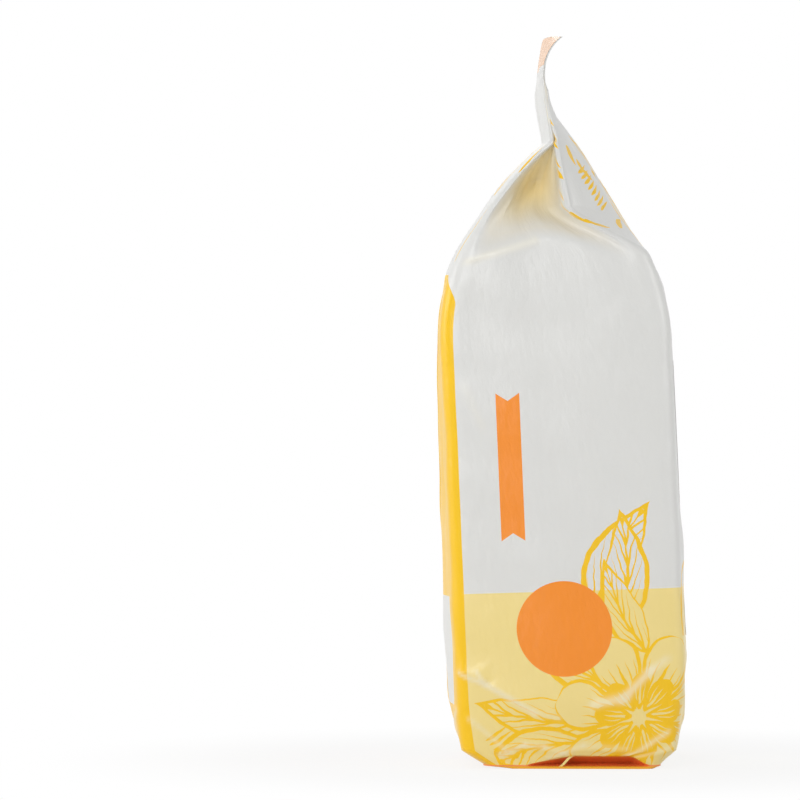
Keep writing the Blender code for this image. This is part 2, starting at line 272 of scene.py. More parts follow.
def pinch(z):
    """How far the near corner of the front panel is drawn in, which leaves a small ear beside the tuck."""
    rise = ramp(z, SHOULDER_HEIGHT + SHOULDER_ROUNDING, PINCH_HEIGHT)
    fall = max(1 - max(z - PINCH_HEIGHT, 0) / (FRONT_RIDGE_HEIGHT - PINCH_HEIGHT), 0)
    return min(PINCH_DEPTH * rise * fall, front_half(z) - seal_half(z))


def bulge(z, share, size):
    """The pillow of a panel: fullest low down, where the stack sags, and flat at its folds and its seal."""
    filling = ramp(z, 0, FULL_BULGE_HEIGHT) * (1 - ramp(z, BULGE_FADE_HEIGHT, BACK_RIDGE_HEIGHT))
    sagged = 1 + SAG * max(1 - z / BULGE_FADE_HEIGHT, 0)
    return size * (1 - (2 * share - 1) ** 2) * filling * sagged


def side_points(z, share, near):
    """The near or far side panel, from its back fold at 0 to its front fold at 1."""
    size = corner_size(z)
    back = size - back_half(z)
    front = front_half(z) - size - (pinch(z) if near else 0)
    x = (back + front) / 2 + (share - 0.5) * max(front - back, SEAL_THICKNESS / 10)
    depth = tuck(z, share, NEAR_TUCK_DEPTH if near else FAR_TUCK_DEPTH)
    y = side_distance(z) + bulge(z, share, SIDE_BULGE) - depth
    return np.stack([x, -y if near else y], 1)


def front_points(z, y):
    """The front panel at these distances from its middle, with its near corner drawn in."""
    flat_half = side_distance(z) - corner_size(z)
    pinched = np.maximum(1 - (y + flat_half) / PINCH_REACH, 0) ** 2
    x = front_half(z) + bulge(z, (y / flat_half + 1) / 2, FRONT_BULGE) - pinch(z) * pinched
    return np.stack([x, y], 1)


def back_points(z, y, lift):
    """The back panel at these distances from its middle, and what lies this much proud of it."""
    flat_half = side_distance(z) - corner_size(z)
    x = -back_half(z) - bulge(z, (y / flat_half + 1) / 2, BACK_BULGE) - lift
    return np.stack([x, y], 1)


def corner_points(start, end, tip):
    """A corner fold between two panels, on a curve drawn towards its tip."""
    share = np.linspace(0, 1, CORNER_COLUMNS + 1)[1:-1, None]
    return (start + (tip - start) * share) * (1 - share) + (tip + (end - tip) * share) * share


def outline(z):
    """The closed outline at height z, from the cut edge of the back seam round by the near side."""
    shares = np.linspace(0, 1, SIDE_COLUMNS + 1)
    flat_half = side_distance(z) - corner_size(z)
    near = side_points(z, shares, True)
    far = side_points(z, 1 - shares, False)
    front = front_points(z, np.linspace(-flat_half, flat_half, FRONT_COLUMNS + 1))
    flap = np.linspace(0, 1, FLAP_COLUMNS + 1)
    start = ramp(z, CHAMFER_HEIGHT, BACK_TOE_HEIGHT)
    raised = start * (1 - SEAM_SETTLING * ramp(z, SHOULDER_HEIGHT, BACK_RIDGE_HEIGHT))
    lift = (SEAM_LIFT + SEAM_EDGE_LIFT * flap) * raised
    cover = back_points(z, SEAM_WIDTH * flap, lift)[::-1]
    under = back_points(z, SEAM_WIDTH * flap, lift * SEAM_UNDER_SHARE)[1:]
    near_back = back_points(z, np.linspace(0, -flat_half, BACK_HALF_COLUMNS + 1), 0)[1:]
    far_back = back_points(z, np.linspace(flat_half, 0, BACK_HALF_COLUMNS + 1), 0)
    y = side_distance(z)
    corners = [
        corner_points(near_back[-1], near[0], (near_back[-1, 0], -y)),
        corner_points(near[-1], front[0], (front[0, 0], -y)),
        corner_points(front[-1], far[0], (front[-1, 0], y)),
        corner_points(far[-1], far_back[0], (far_back[0, 0], y)),
    ]
    parts = [cover, near_back, corners[0], near, corners[1], front, corners[2], far, corners[3]]
    return np.concatenate(parts + [far_back, under])


def placed(points, z):
    """Plan points stood at height z, with the pack's lean and the sweep and curl of its end seal."""
    y = points[:, 1]
    side = side_distance(z)
    near = np.maximum(1 - np.maximum(side + y, 0) / END_CURL_REACH, 0) ** 2
    curl = END_CURL * near * over(z, END_CURL_HEIGHT) ** 2
    sweep = np.where(y < 0, NEAR_SWEEP, FAR_SWEEP) * (y / side) ** 2
    x = points[:, 0] + middle(z) + curl + sweep * ramp(z, SHOULDER_HEIGHT, BACK_RIDGE_HEIGHT)
    drop = curl**2 / (2 * (TOP_HEIGHT - END_CURL_HEIGHT))
    return np.stack([x, y, z - drop], 1)


def mouth_openness(points):
    """1 where the mouth under a side panel is most open, and 0 beyond its ends and off the side panels."""
    fold = side_distance(0) - CORNER_RADIUS
    on_side = ramp(abs(points[:, 1]), fold, fold + CORNER_RADIUS - SIDE_TOE_INSET)
    rise = np.clip((points[:, 0] - MOUTH_BACK) / (MOUTH_PEAK - MOUTH_BACK), 0, 1) ** MOUTH_RISE_POWER
    return rise * (1 - ramp(points[:, 0], MOUTH_FULL_END, MOUTH_FRONT)) * on_side


def mouth_row(depth_share, height_share, height):
    """A row of the mouth over the folded flap, moved in and up by these shares of its depth and height."""
    points = outline(FLAP_THICKNESS)
    openness = mouth_openness(points)
    points[:, 1] -= np.sign(points[:, 1]) * MOUTH_DEPTH * depth_share * openness
    row = placed(points, FLAP_THICKNESS)
    row[:, 2] += height + MOUTH_HEIGHT * height_share * openness
    return row


def spaced(start, end, step):
    """Heights from just above start up to end, about a step apart."""
    count = max(round((end - start) / step), 1)
    return [start + (end - start) * k / count for k in range(1, count + 1)]


base = placed(outline(0), 0)
base[:, 0] = np.clip(base[:, 0], BASE_BACK_INSET - THICKNESS / 2, THICKNESS / 2 - BASE_FRONT_INSET)
rows = [base, mouth_row(0, 0, 0)]
for share in (0.25, 0.6, 1.0):
    rows.append(mouth_row(share, MOUTH_FLOOR_SLOPE * share, MOUTH_LEAST_GAP * share / 2))
for share in (0.6, 0.25, 0):
    rows.append(mouth_row(share, 1 - MOUTH_ROOF_SLOPE * share, MOUTH_LEAST_GAP * (1 - share / 2)))
inside_rows = range(2, len(rows) - 1)
lip = rows[-1]
for z in spaced(FLAP_THICKNESS, CHAMFER_HEIGHT, BASE_ROW_STEP):
    row = placed(outline(z), z)
    share = (z - FLAP_THICKNESS) / (CHAMFER_HEIGHT - FLAP_THICKNESS)
    row[:, 2] = lip[:, 2] + (CHAMFER_HEIGHT - lip[:, 2]) * share
    rows.append(row)
heights = spaced(CHAMFER_HEIGHT, CREASED_HEIGHT, BASE_ROW_STEP)
heights += spaced(CREASED_HEIGHT, SHOULDER_HEIGHT - SHOULDER_ROUNDING, BODY_ROW_STEP)
heights += spaced(SHOULDER_HEIGHT - SHOULDER_ROUNDING, FRONT_RIDGE_HEIGHT, ROOF_ROW_STEP)
heights += spaced(FRONT_RIDGE_HEIGHT, TOP_HEIGHT, SEAL_ROW_STEP)
rows += [placed(outline(z), z) for z in heights]
rows = np.array(rows)

# Wrapper, its relief
# Creases and soft wrinkles of the film, as heights off its smooth form in millimetres. A place on the web
# is u along it, 0 in the middle of the near side panel, and v up it from the floor.
CORNER_LENGTH = 12.6
SIDE_FLAT = (THICKNESS - 2 * CORNER_RADIUS) * MM
FRONT_FLAT = (WIDTH - 2 * CORNER_RADIUS) * MM
FRONT_START = SIDE_FLAT / 2 + CORNER_LENGTH
FAR_START = FRONT_START + FRONT_FLAT + CORNER_LENGTH
FAR_BACK_START = FAR_START + SIDE_FLAT + CORNER_LENGTH
FAR_MIDDLE = FAR_START + SIDE_FLAT / 2
FRONT_MIDDLE = FRONT_START + FRONT_FLAT / 2
NEAR_BACK_START = -SIDE_FLAT / 2 - CORNER_LENGTH

# Each crease: from u, v to u, v, then its height and its width.
CREASES = [
    (-43.5, 38.0, -33.0, 33.2, 0.94, 1.1),
    (-36.5, 38.6, -33.0, 33.2, 0.77, 1.0),
    (-33.0, 33.2, -14.0, 21.8, 1.02, 1.3),
    (-14.0, 21.8, -4.0, 19.6, 0.42, 1.4),
    (10.0, 23.8, 22.0, 26.0, 0.85, 2.2),
    (22.0, 26.0, 32.0, 36.5, 0.94, 2.0),
    (32.0, 36.5, 37.5, 40.5, 0.59, 1.9),
    (-32.0, 5.2, -18.5, 9.4, 0.85, 1.1),
    (-18.5, 9.4, -10.5, 8.4, 0.68, 1.2),
    (-10.5, 8.4, -2.0, 5.6, 0.42, 1.3),
    (28.0, 4.5, 40.0, 12.5, 0.77, 1.4),
    (34.0, 3.5, 46.0, 9.0, 0.59, 1.1),
    (-27.0, 223.0, -24.0, 206.0, 1.19, 2.7),
    (-38.0, 196.0, -6.0, 203.5, 0.85, 2.0),
    (FAR_MIDDLE + 9.6, 19.0, FAR_MIDDLE + 32.3, 29.8, 1.36, 1.5),
    (FAR_MIDDLE + 8.9, 12.5, FAR_MIDDLE + 35.8, 19.0, 1.36, 1.5),
    (FAR_MIDDLE - 10.4, 6.0, FAR_MIDDLE - 3.5, 7.9, 1.02, 1.3),
    (FAR_MIDDLE - 3.5, 7.9, FAR_MIDDLE + 5.0, 13.3, 1.02, 1.3),
    (FAR_MIDDLE - 36.0, 40.0, FAR_MIDDLE - 25.5, 26.0, 0.94, 1.5),
    (FAR_MIDDLE - 35.0, 9.8, FAR_MIDDLE - 29.0, 2.9, 0.77, 1.3),
    (FAR_MIDDLE - 20.0, 196.0, FAR_MIDDLE + 4.0, 222.0, 0.94, 2.5),
    (FRONT_START + 4, 182.0, FRONT_MIDDLE - 12, 206.0, 0.85, 3.0),
    (FRONT_START + FRONT_FLAT - 3, 180.0, FRONT_MIDDLE + 14, 210.0, 0.94, 3.0),
    (FRONT_START - 3, 30.0, FRONT_START + 17, 16.0, 0.85, 2.0),
    (FRONT_START + FRONT_FLAT + 3, 33.0, FRONT_START + FRONT_FLAT - 16, 15.0, 0.85, 2.0),
    (FAR_BACK_START + 2, 184.0, FAR_BACK_START + 27, 204.0, 0.94, 3.0),
    (NEAR_BACK_START - 2, 186.0, NEAR_BACK_START - 25, 205.0, 0.94, 3.0),
    (FAR_BACK_START, 26.0, FAR_BACK_START + 18, 12.0, 0.85, 1.9),
    (FRONT_START + 2, 196.0, FRONT_START + 22, 240.0, 0.90, 2.6),
    (FRONT_START + FRONT_FLAT - 2, 194.0, FRONT_MIDDLE + 20, 246.0, 0.90, 2.6),
    (FRONT_MIDDLE - 18, 262.0, FRONT_MIDDLE - 8, 214.0, 0.70, 2.4),
    (FRONT_MIDDLE + 9, 262.0, FRONT_MIDDLE + 3, 222.0, 0.60, 2.2),
    (FRONT_START + 1, 168.0, FRONT_START + 14, 150.0, 0.50, 2.6),
    (FRONT_START + FRONT_FLAT - 1, 160.0, FRONT_START + FRONT_FLAT - 12, 146.0, 0.50, 2.4),
    (FRONT_START + 6, 44.0, FRONT_START + 26, 34.0, 0.50, 2.2),
    (FAR_BACK_START + 3, 192.0, FAR_BACK_START + 22, 238.0, 0.80, 2.6),
    (NEAR_BACK_START - 3, 192.0, NEAR_BACK_START - 24, 236.0, 0.80, 2.6),
    (FAR_BACK_START + 12, 150.0, FAR_BACK_START + 33, 166.0, 0.50, 2.8),
    (NEAR_BACK_START - 6, 96.0, NEAR_BACK_START - 30, 84.0, 0.45, 2.8),
    (-37.0, 148.0, -31.0, 133.0, 0.30, 2.2),
    (36.5, 170.0, 26.0, 181.0, 0.40, 2.8),
    (-12.0, 3.8, 6.0, 8.5, 0.55, 1.2),
    (6.0, 8.5, 24.0, 6.5, 0.40, 1.3),
    (-40.0, 20.0, -27.0, 7.5, 0.55, 1.2),
    (NEAR_BACK_START, 24.0, NEAR_BACK_START - 17, 12.0, 0.85, 1.9),
]
# Soft dents and swellings where the wipes press or give: the middle's u and v, the reaches, the height.
DENTS = [
    (FRONT_MIDDLE - 35, 152, 7, 24, -1.4), (FRONT_MIDDLE + 36, 126, 7, 28, -1.2),
    (FRONT_MIDDLE + 6, 177, 24, 6, -1.2), (FRONT_MIDDLE - 22, 34, 17, 7, -1.4),
    (FRONT_MIDDLE + 20, 40, 12, 8, 1.0), (FRONT_MIDDLE - 37, 88, 5, 16, 1.0),
    (FRONT_MIDDLE + 12, 205, 15, 9, -1.4), (FRONT_MIDDLE - 18, 222, 9, 12, 1.2),
    (NEAR_BACK_START - 20, 120, 9, 30, -1.2), (NEAR_BACK_START - 26, 54, 12, 12, 1.2),
    (NEAR_BACK_START - 16, 170, 12, 8, -1.4), (FAR_BACK_START + 18, 104, 9, 26, -1.2),
    (FAR_BACK_START + 24, 176, 12, 7, -1.4), (FAR_BACK_START + 20, 48, 12, 10, 1.2),
    (-16, 92, 13, 24, -0.35), (14, 150, 14, 20, 0.3), (-8, 172, 20, 8, -0.35), (20, 96, 10, 14, -0.3),
    (FAR_MIDDLE + 12, 112, 13, 26, -0.45), (FAR_MIDDLE - 14, 70, 12, 15, 0.4),
    (FAR_MIDDLE - 6, 168, 18, 9, -0.5),
]
# Soft waves over the whole film: wavelengths along u and v, a phase, and the height.
WAVES = [(61, 83, 0.4, 0.26), (37, 129, 2.1, 0.20), (23, 71, 4.0, 0.12), (97, 43, 5.2, 0.20)]
# Gathers that run up the roof panels into the end seal: wavelength along u, slant, phase and height.
GATHERS = [(31, 0.10, 0.7, 0.50), (17.3, -0.16, 2.9, 0.32), (9.7, 0.07, 4.4, 0.12)]
LABEL_WIDTH = 0.058
LABEL_LENGTH = 0.100
LABEL_CENTRE_HEIGHT = 0.108
RIB_PITCH = 1.25
GENTLE_SIDE = 3.2
CREASE_RUN_OUT = 4
CREASE_END_SHARE = 0.35
# Creases narrower than this get a painted highlight along their ridge, reaching this far aside of it.
SHARP_CREASE = 2.4
CREASE_HIGHLIGHT_REACH = 0.8
GATHER_MIDDLE = 200
# The film lies flat over the label, at the floor and in the crimp: where the relief fades out, and how far.
FLAT_PAST_LABEL = 9
LABEL_FADE = 8
FLOOR_FADE = (0.5, 4)
CRIMP_FADE = (262, 268)
CRIMP_FLATNESS = 0.8


def beside_line(u, v, line):
    """A place as seen from the line of a crease: how far along it, aside of it and past its ends."""
    u0, v0, u1, v1 = line[:4]
    length = math.hypot(u1 - u0, v1 - v0)
    along = ((u - u0) * (u1 - u0) + (v - v0) * (v1 - v0)) / length
    aside = ((v - v0) * (u1 - u0) - (u - u0) * (v1 - v0)) / length
    past = np.maximum(np.maximum(-along, along - length), 0)
    return along, aside, past, length


def crease(u, v, line):
    """Height of one crease at u and v: steep on one side, gentle on the other, running out at its ends."""
    height, width = line[4:]
    along, aside, past, length = beside_line(u, v, line)
    from_end = np.minimum(along, length - along) / length
    near_end = np.clip(from_end * CREASE_RUN_OUT + CREASE_END_SHARE, 0, 1)
    reach = np.where(aside > 0, width * GENTLE_SIDE, width)
    return height * near_end * np.exp(-np.sqrt((aside / reach) ** 2 + (past / width) ** 2))


def painted_crease_highlight(u, v):
    """How strongly a painted highlight lightens the film along its sharp creases, 0 to 1."""
    total = 0
    for line in CREASES:
        height, width = line[4:]
        if width < SHARP_CREASE:
            along, aside, past, length = beside_line(u, v, line)
            off_ridge = (aside - width / 2) / (width * CREASE_HIGHLIGHT_REACH)
            total = total + height * np.exp(-off_ridge ** 2 - (past / width) ** 2)
    return np.clip(total, 0, 1)


def relief(u, v):
    """Height of the film off its smooth form at u and v, in millimetres."""
    height = sum(crease(u, v, line) for line in CREASES)
    for middle_u, middle_v, reach_u, reach_v, size in DENTS:
        height = height + size * np.exp(-((u - middle_u) / reach_u) ** 2 - ((v - middle_v) / reach_v) ** 2)
    for along, up, phase, size in WAVES:
        swell = np.sin(2 * np.pi * (u / along + v / up) + phase)
        height = height + size * swell * np.sin(v / up * 4 + phase)
    roof = ramp(v, SHOULDER_HEIGHT * MM, BACK_RIDGE_HEIGHT * MM)
    roof = roof * (1 - ramp(v, FRONT_RIDGE_HEIGHT * MM, TOP_HEIGHT * MM))
    for along, slant, phase, size in GATHERS:
        run = (u + slant * (v - GATHER_MIDDLE)) / along
        height = height + size * roof * np.sin(2 * np.pi * run + phase)
    across = abs(u - FRONT_MIDDLE) - LABEL_WIDTH * MM / 2
    up = abs(v - LABEL_CENTRE_HEIGHT * MM) - LABEL_LENGTH * MM / 2 - FLAT_PAST_LABEL
    height = height * ramp(np.hypot(np.maximum(across, 0), np.maximum(up, 0)), 0, LABEL_FADE)
    return height * ramp(v, *FLOOR_FADE) * (1 - CRIMP_FLATNESS * ramp(v, *CRIMP_FADE))


def web_columns():
    """The place u of each column of the film, from the under layer of the back seam round to the cover."""
    flap = np.linspace(0, SEAM_WIDTH * MM, FLAP_COLUMNS + 1)
    corner = np.linspace(0, CORNER_LENGTH, CORNER_COLUMNS + 1)[1:-1]
    side = np.linspace(0, SIDE_FLAT, SIDE_COLUMNS + 1)
    back = np.linspace(0, FRONT_FLAT / 2, BACK_HALF_COLUMNS + 1)
    front = np.linspace(0, FRONT_FLAT, FRONT_COLUMNS + 1)
    near_middle = NEAR_BACK_START - FRONT_FLAT / 2
    near = [near_middle - flap[::-1], near_middle + back[1:], NEAR_BACK_START + corner, side - SIDE_FLAT / 2]
    front = [SIDE_FLAT / 2 + corner, FRONT_START + front, FRONT_START + FRONT_FLAT + corner]
    far = [FAR_START + side, FAR_START + SIDE_FLAT + corner, FAR_BACK_START + back]
    return np.concatenate(near + front + far + [FAR_BACK_START + FRONT_FLAT / 2 + flap[1:]])


columns = web_columns()
film_u = np.broadcast_to(columns, rows.shape[:2])
film_v = rows[:, :, 2] * MM - rows[:, :, 0] * MM * PRINT_TILT
along_web = np.roll(rows, -1, axis=1) - np.roll(rows, 1, axis=1)
up_web = np.gradient(rows, axis=0)
outward = np.cross(along_web, up_web)
outward /= np.maximum(np.linalg.norm(outward, axis=2, keepdims=True), 1e-12)
lifted = relief(film_u, rows[:, :, 2] * MM) / MM
lifted[:len(inside_rows) + 3] = 0
rows = rows + outward * lifted[:, :, None]
cad_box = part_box("wrapper")
wrapper_shift = (cad_box[0].x + cad_box[1].x - rows[:, :, 0].min() - rows[:, :, 0].max()) / 2
rows[:, :, 0] += wrapper_shift

# What the material reads at each point of the web.
# The far side's tucked recess gets a weaker share of the painted light and shade.
FAR_RECESS_LIGHT_SHARE = 0.7
marks = {name: np.zeros(rows.shape[:2]) for name in ("recess_light_and_shade", "under_body", "in_mouth")}
marks["crease_highlight"] = painted_crease_highlight(film_u, film_v)
marks["under_body"][:len(inside_rows) + 2] = 1
marks["in_mouth"][inside_rows.start:inside_rows.stop] = 1
side_first = FLAP_COLUMNS + 1 + BACK_HALF_COLUMNS + CORNER_COLUMNS - 1
far_first = side_first + SIDE_COLUMNS + 1 + FRONT_COLUMNS + 1 + 2 * (CORNER_COLUMNS - 1)
shares = np.linspace(0, 1, SIDE_COLUMNS + 1)
heights_of_rows = [0] * (len(rows) - len(heights)) + heights
for row, z in enumerate(heights_of_rows):
    folded = tucked_share(z, shares)
    marks["recess_light_and_shade"][row, side_first:side_first + SIDE_COLUMNS + 1] = folded
    marks["recess_light_and_shade"][row, far_first:far_first + SIDE_COLUMNS + 1] = FAR_RECESS_LIGHT_SHARE * folded

# The bake unrolls the web along u and up its length, and lays the two ends apart above it.
BAKE_SPAN = 460.0
BAKE_MARGIN = 0.004
BAKE_LEAST_STEP = 0.2
CLOSING_STRIP = 1.2
TOP_END_ASIDE = 0.5
TOP_END_PRINT = (60, 150)
FLOOR_END_PRINT = (-200, 0)
FILM_SHARP_ANGLE = 55

steps = np.linalg.norm(np.diff(rows, axis=0), axis=2).mean(axis=1) * MM
length_up = np.concatenate([[0], np.cumsum(np.maximum(steps, BAKE_LEAST_STEP))])

net = bmesh.new()
bmesh.ops.create_grid(net, x_segments=rows.shape[1], y_segments=len(rows) - 1, size=1)
net.verts.ensure_lookup_table()
layers = {name: net.verts.layers.float.new(name) for name in marks}
film_map = net.loops.layers.uv.new("film")
bake_map = net.loops.layers.uv.new("OFBake")
stride = rows.shape[1] + 1
for index, vertex in enumerate(net.verts):
    row, column = divmod(index, stride)
    source = column % rows.shape[1]
    vertex.co = rows[row, source]
    for name, values in marks.items():
        vertex[layers[name]] = values[row, source]
    u = columns[column] if column < rows.shape[1] else columns[-1] + CLOSING_STRIP
    bake_y = length_up[row] / BAKE_SPAN + BAKE_MARGIN
    for loop in vertex.link_loops:
        loop[film_map].uv = (u, film_v[row, source])
        loop[bake_map].uv = ((u - columns[0]) / BAKE_SPAN + BAKE_MARGIN, bake_y)
bmesh.ops.remove_doubles(net, verts=net.verts[:], dist=1e-7)
rims = [edge for edge in net.edges if edge.is_boundary]
caps = bmesh.ops.holes_fill(net, edges=rims, sides=0)["faces"]
bmesh.ops.recalc_face_normals(net, faces=net.faces[:])
cap_row = length_up[-1] / BAKE_SPAN + 3 * BAKE_MARGIN
for cap in caps:
    on_floor = cap.calc_center_median().z < FLAP_THICKNESS
    for loop in cap.loops:
        x, y, z = (loop.vert.co - Vector((cad_low.x, cad_low.y, 0))) * MM / BAKE_SPAN
        loop[bake_map].uv = (y + (BAKE_MARGIN if on_floor else TOP_END_ASIDE), x + cap_row)
        loop[film_map].uv = FLOOR_END_PRINT if on_floor else TOP_END_PRINT

# A torn sliver of film hangs across the mouth, from the lip down to the folded flap.
TAG_TOP = (0.0042, 0.0050)
TAG_FOOT = (-0.0014, 0.0007)
TAG_WIDTH = 0.0011
TAG_THICKNESS = 0.00015
TAG_BOW = 0.0004
TAG_STEPS = 6
TAG_PRINT_PLACE = (-30.0, 50.0)
TAG_BAKE_PLACE = (0.90, 0.02)
TAG_BAKE_CELL = 0.004
TAG_BAKE_COLUMNS = 4
TAG_BAKE_CORNERS = ((0, 0), (0.8, 0), (0.8, 0.8), (0, 0.8))

web_faces = set(net.faces)
tag_verts = bmesh.ops.create_grid(net, x_segments=TAG_STEPS, y_segments=1, size=1)["verts"]
for index, vertex in enumerate(tag_verts):
    side, step = divmod(index, TAG_STEPS + 1)
    share = step / TAG_STEPS
    x = TAG_TOP[0] + (TAG_FOOT[0] - TAG_TOP[0]) * share + TAG_WIDTH * (side - 0.5)
    z = TAG_TOP[1] + (TAG_FOOT[1] - TAG_TOP[1]) * share + TAG_BOW * math.sin(2 * math.pi * share)
    vertex.co = (x, SIDE_TOE_INSET - WIDTH / 2 + TAG_BOW * (1 - math.sin(math.pi * share)), z)
tag_sheet = [face for face in net.faces if face not in web_faces]
bmesh.ops.solidify(net, geom=tag_sheet, thickness=TAG_THICKNESS)
tag_faces = [face for face in net.faces if face not in web_faces]
bmesh.ops.recalc_face_normals(net, faces=tag_faces)
for index, face in enumerate(tag_faces):
    cell_up, cell_across = divmod(index, TAG_BAKE_COLUMNS)
    for loop, corner in zip(face.loops, TAG_BAKE_CORNERS):
        loop[film_map].uv = TAG_PRINT_PLACE
        bake_x = TAG_BAKE_PLACE[0] + TAG_BAKE_CELL * (cell_across + corner[0])
        loop[bake_map].uv = (bake_x, TAG_BAKE_PLACE[1] + TAG_BAKE_CELL * (cell_up + corner[1]))


def finished_mesh(name, net, sharp_angle):
    """The mesh of a piece from its bmesh, smooth but for its folds and edges."""
    mesh = bpy.data.meshes.new(name)
    net.to_mesh(mesh)
    net.free()
    mesh.shade_smooth()
    mesh.set_sharp_from_angle(angle=math.radians(sharp_angle))
    return mesh


wrapper = stood("film_wrapper", finished_mesh("film_wrapper", net, FILM_SHARP_ANGLE))


# Wrapper, its printed film
# Reverse-printed polyester laminated to white polyethylene: the ink lies under a smooth satin face, so every
# colour has the same even sheen. The print is laid out on the flat web, in millimetres.
FILM_WHITE = "e6e6e3"
PALE_YELLOW = "f9e293"
GOLDEN = "fecb02"
ORANGE = "ff9420"
BACK_ORANGE = "e8842c"
# Painted shade and painted light of the tucked recess: cream at its edge, warm tan deeper in, paler towards
# the seal.
RECESS_SHADE_CREAM = "ebe5d6"
RECESS_LIGHT_TAN = "f3dc98"
RECESS_LIGHT_TOP = "fff2cc"
# Painted highlight along the sharp creases.
CREASE_HIGHLIGHT = "fbf6e4"
FLAP_GOLD = "f7b422"
# The orange print, darkened as painted shade inside the mouth under the side panels.
MOUTH_SHADE_ORANGE = "f7924f"
SEAL_PEACH = "f7cfae"
INK_GREY = "6b6a68"

PRINT_START = -300.0
PRINT_END = 400.0
PRINT_LOW = -20.0
PRINT_HIGH = 300.0
FIELD_HEIGHT = 68.8
ROUNDEL_PLACE = (-1.4, 54.3)
ROUNDEL_RADIUS = 18.4
RIBBON_MIDDLE = (-19.6, 117.2)
RIBBON_HALF_WIDTH = 4.6
RIBBON_HALF_LENGTH = 28.5
RIBBON_NOTCH = 3.0
NEAR_BAND_EDGE = -39.2
NEAR_BAND_END = -94.0
FAR_BAND_EDGE = FAR_START + SIDE_FLAT + 3.2
FAR_BAND_END = FAR_BACK_START + 4.0
BAND_POINT_START = 180.0
BAND_POINT_END = 198.0
BAND_POINT_DEPTH = 12.0
BACK_FIELD_TOP = 192.0
SEAL_FIELD_START = 272.0
# The boxes, bars and rules of the back: left, right, low and high.
WHITE_BOXES = [(NEAR_BACK_START - 40, NEAR_BACK_START - 3.5, 25.6, 67.6),
               (FAR_BACK_START + 6, FAR_BACK_START + 38, 14.0, 38.0)]
BARS = (FAR_BACK_START + 9, FAR_BACK_START + 35, 17.0, 35.0)
BAR_SCALE = 0.9
BAR_SHARE = 0.52
RULES = (FAR_BACK_START + 9, FAR_BACK_START + 36, 80.0, 176.0)
RULE_PITCH = 9.0
RULE_SHARE = 0.07

# Leaves: the stalk's u and v, the angle in degrees, the length, and the width, negative for a mirrored one.
LEAVES = [
    (10, 58, 62, 50, 24), (20, 52, 88, 48, -21), (30, 44, 112, 40, 18), (46, 50, 52, 46, 22),
    (20, 30, 146, 44, 19), (14, 18, 170, 52, 22), (8, 10, 190, 48, -19),
    (76, 198, 66, 50, 22), (90, 206, 98, 42, -18), (104, 208, 70, 44, 18),
    (FAR_MIDDLE - 30, 30, 62, 30, 14), (FAR_MIDDLE - 24, 14, 20, 34, -16), (FAR_MIDDLE - 44, 40, 86, 36, -16),
    (FAR_MIDDLE - 8, 207, 118, 36, 17), (FAR_MIDDLE - 2, 205, 86, 46, -18), (FAR_MIDDLE + 4, 207, 52, 32, 15),
    (FAR_MIDDLE - 14, 207, 152, 28, 12), (FAR_MIDDLE - 12, 203, 176, 28, -11),
    (NEAR_BACK_START - 14, 222, 96, 24, 8),
    (FAR_BACK_START + 20, 200, 84, 40, 16), (FAR_BACK_START + 30, 204, 118, 34, -14),
]
# Brush strokes, as the leaves: along the ear's fold, up the front panel beside it, and at the bottom corner.
STROKES = [
    (33, 252, -30, 8, 1.8), (32, 247.5, -42, 9, 2.0), (33, 243, -26, 8, 1.8), (32, 237, -42, 8, 1.8),
    (31, 232.5, -30, 10, 2.6), (33, 224, -58, 6, 1.5), (33, 219, -58, 6, 1.4),
]
STROKES += [(57.5 + 0.5 * k, 230 - 2.1 * k, 24, 8.5, 1.3) for k in range(8)]
STROKES += [
    (NEAR_BACK_START + 3.5, 231, 100, 11, 4), (NEAR_BACK_START + 2, 197, 96, 22, 1.6),
    (34, 214, -24, 9, 4.4), (40, 211.5, -16, 13, 3.4), (62, 208, 24, 9, 2.4), (54, 241, -62, 9, 3.2),
    (60, 236, -70, 7, 2.2), (62, 232, -58, 6, 2.2),
]
STROKES += [(-35 + 1.6 * k, 12 - 1.7 * k, 28 - 3 * k, 13 - k, 1.3) for k in range(5)]
# Open flowers: the centre's u and v, the angle, and the radius.
FLOWERS = [(28, 19, 12, 34), (FAR_MIDDLE - 44, 18, 40, 31), (FRONT_MIDDLE + 26, 222, 20, 24)]

# The leaf and the flower in shares of their own length and radius.
LEAF_BEND = 0.55
LEAF_SKEW = 0.8
LEAF_HALF_WIDTH = 0.42
LEAF_LINE = 0.064
LEAF_LINE_LEAN = 0.10
RIB_WIDTH = 0.042
RIB_TAPER = -0.035
VEIN_COUNT = 6.0
VEIN_SLANT = -1.6
VEIN_SHARE = 0.44
VEIN_TAPER = -1.5
STROKE_SKEW = 0.7
OUTER_PETALS = (7, 0.10, 1.0)
INNER_PETALS = (9, 0.06, 0.52)
PETAL_BLUNTNESS = 0.45
PETAL_HALF_WIDTH = 0.49
PETAL_LINE = 0.050
CENTRE_TEETH = 13
CENTRE_TOOTH = 0.022
CENTRE_RADIUS = 0.15
EYE_RADIUS = 0.09
WAVER_SCALE = 0.11
WAVER = 2.6

# The line icons of the far side panel, each with its height, in a ring.
ICONS = [("leaf", 186), ("plus", 156), ("drop", 121), ("hexagon", 90)]
ICON_COLUMN = FAR_MIDDLE + 3.5
ICON_RING_RADIUS = 6.4
ICON_LINE = 0.17
ICON_REACH = 4.2
CURVE_LINE = 0.2
PLUS_OUTER = (-1.5, 1.5, -3.9, 3.9)
PLUS_INNER = (-1.15, 1.15, -3.55, 3.55)
LEAF_RIB = (-0.15, 0.15, -5.2, 2.8)
HEXAGON_RADIUS = 3.4
HOLE_RADIUS = 1.3
HOLE_LINE = 0.16


def colour(code):
    """A colour written as an sRGB hex value, as linear values for a shader."""
    parts = [int(code[k:k + 2], 16) / 255 for k in (0, 2, 4)]
    return (*[part / 12.92 if part <= 0.04045 else ((part + 0.055) / 1.055) ** 2.4 for part in parts], 1)


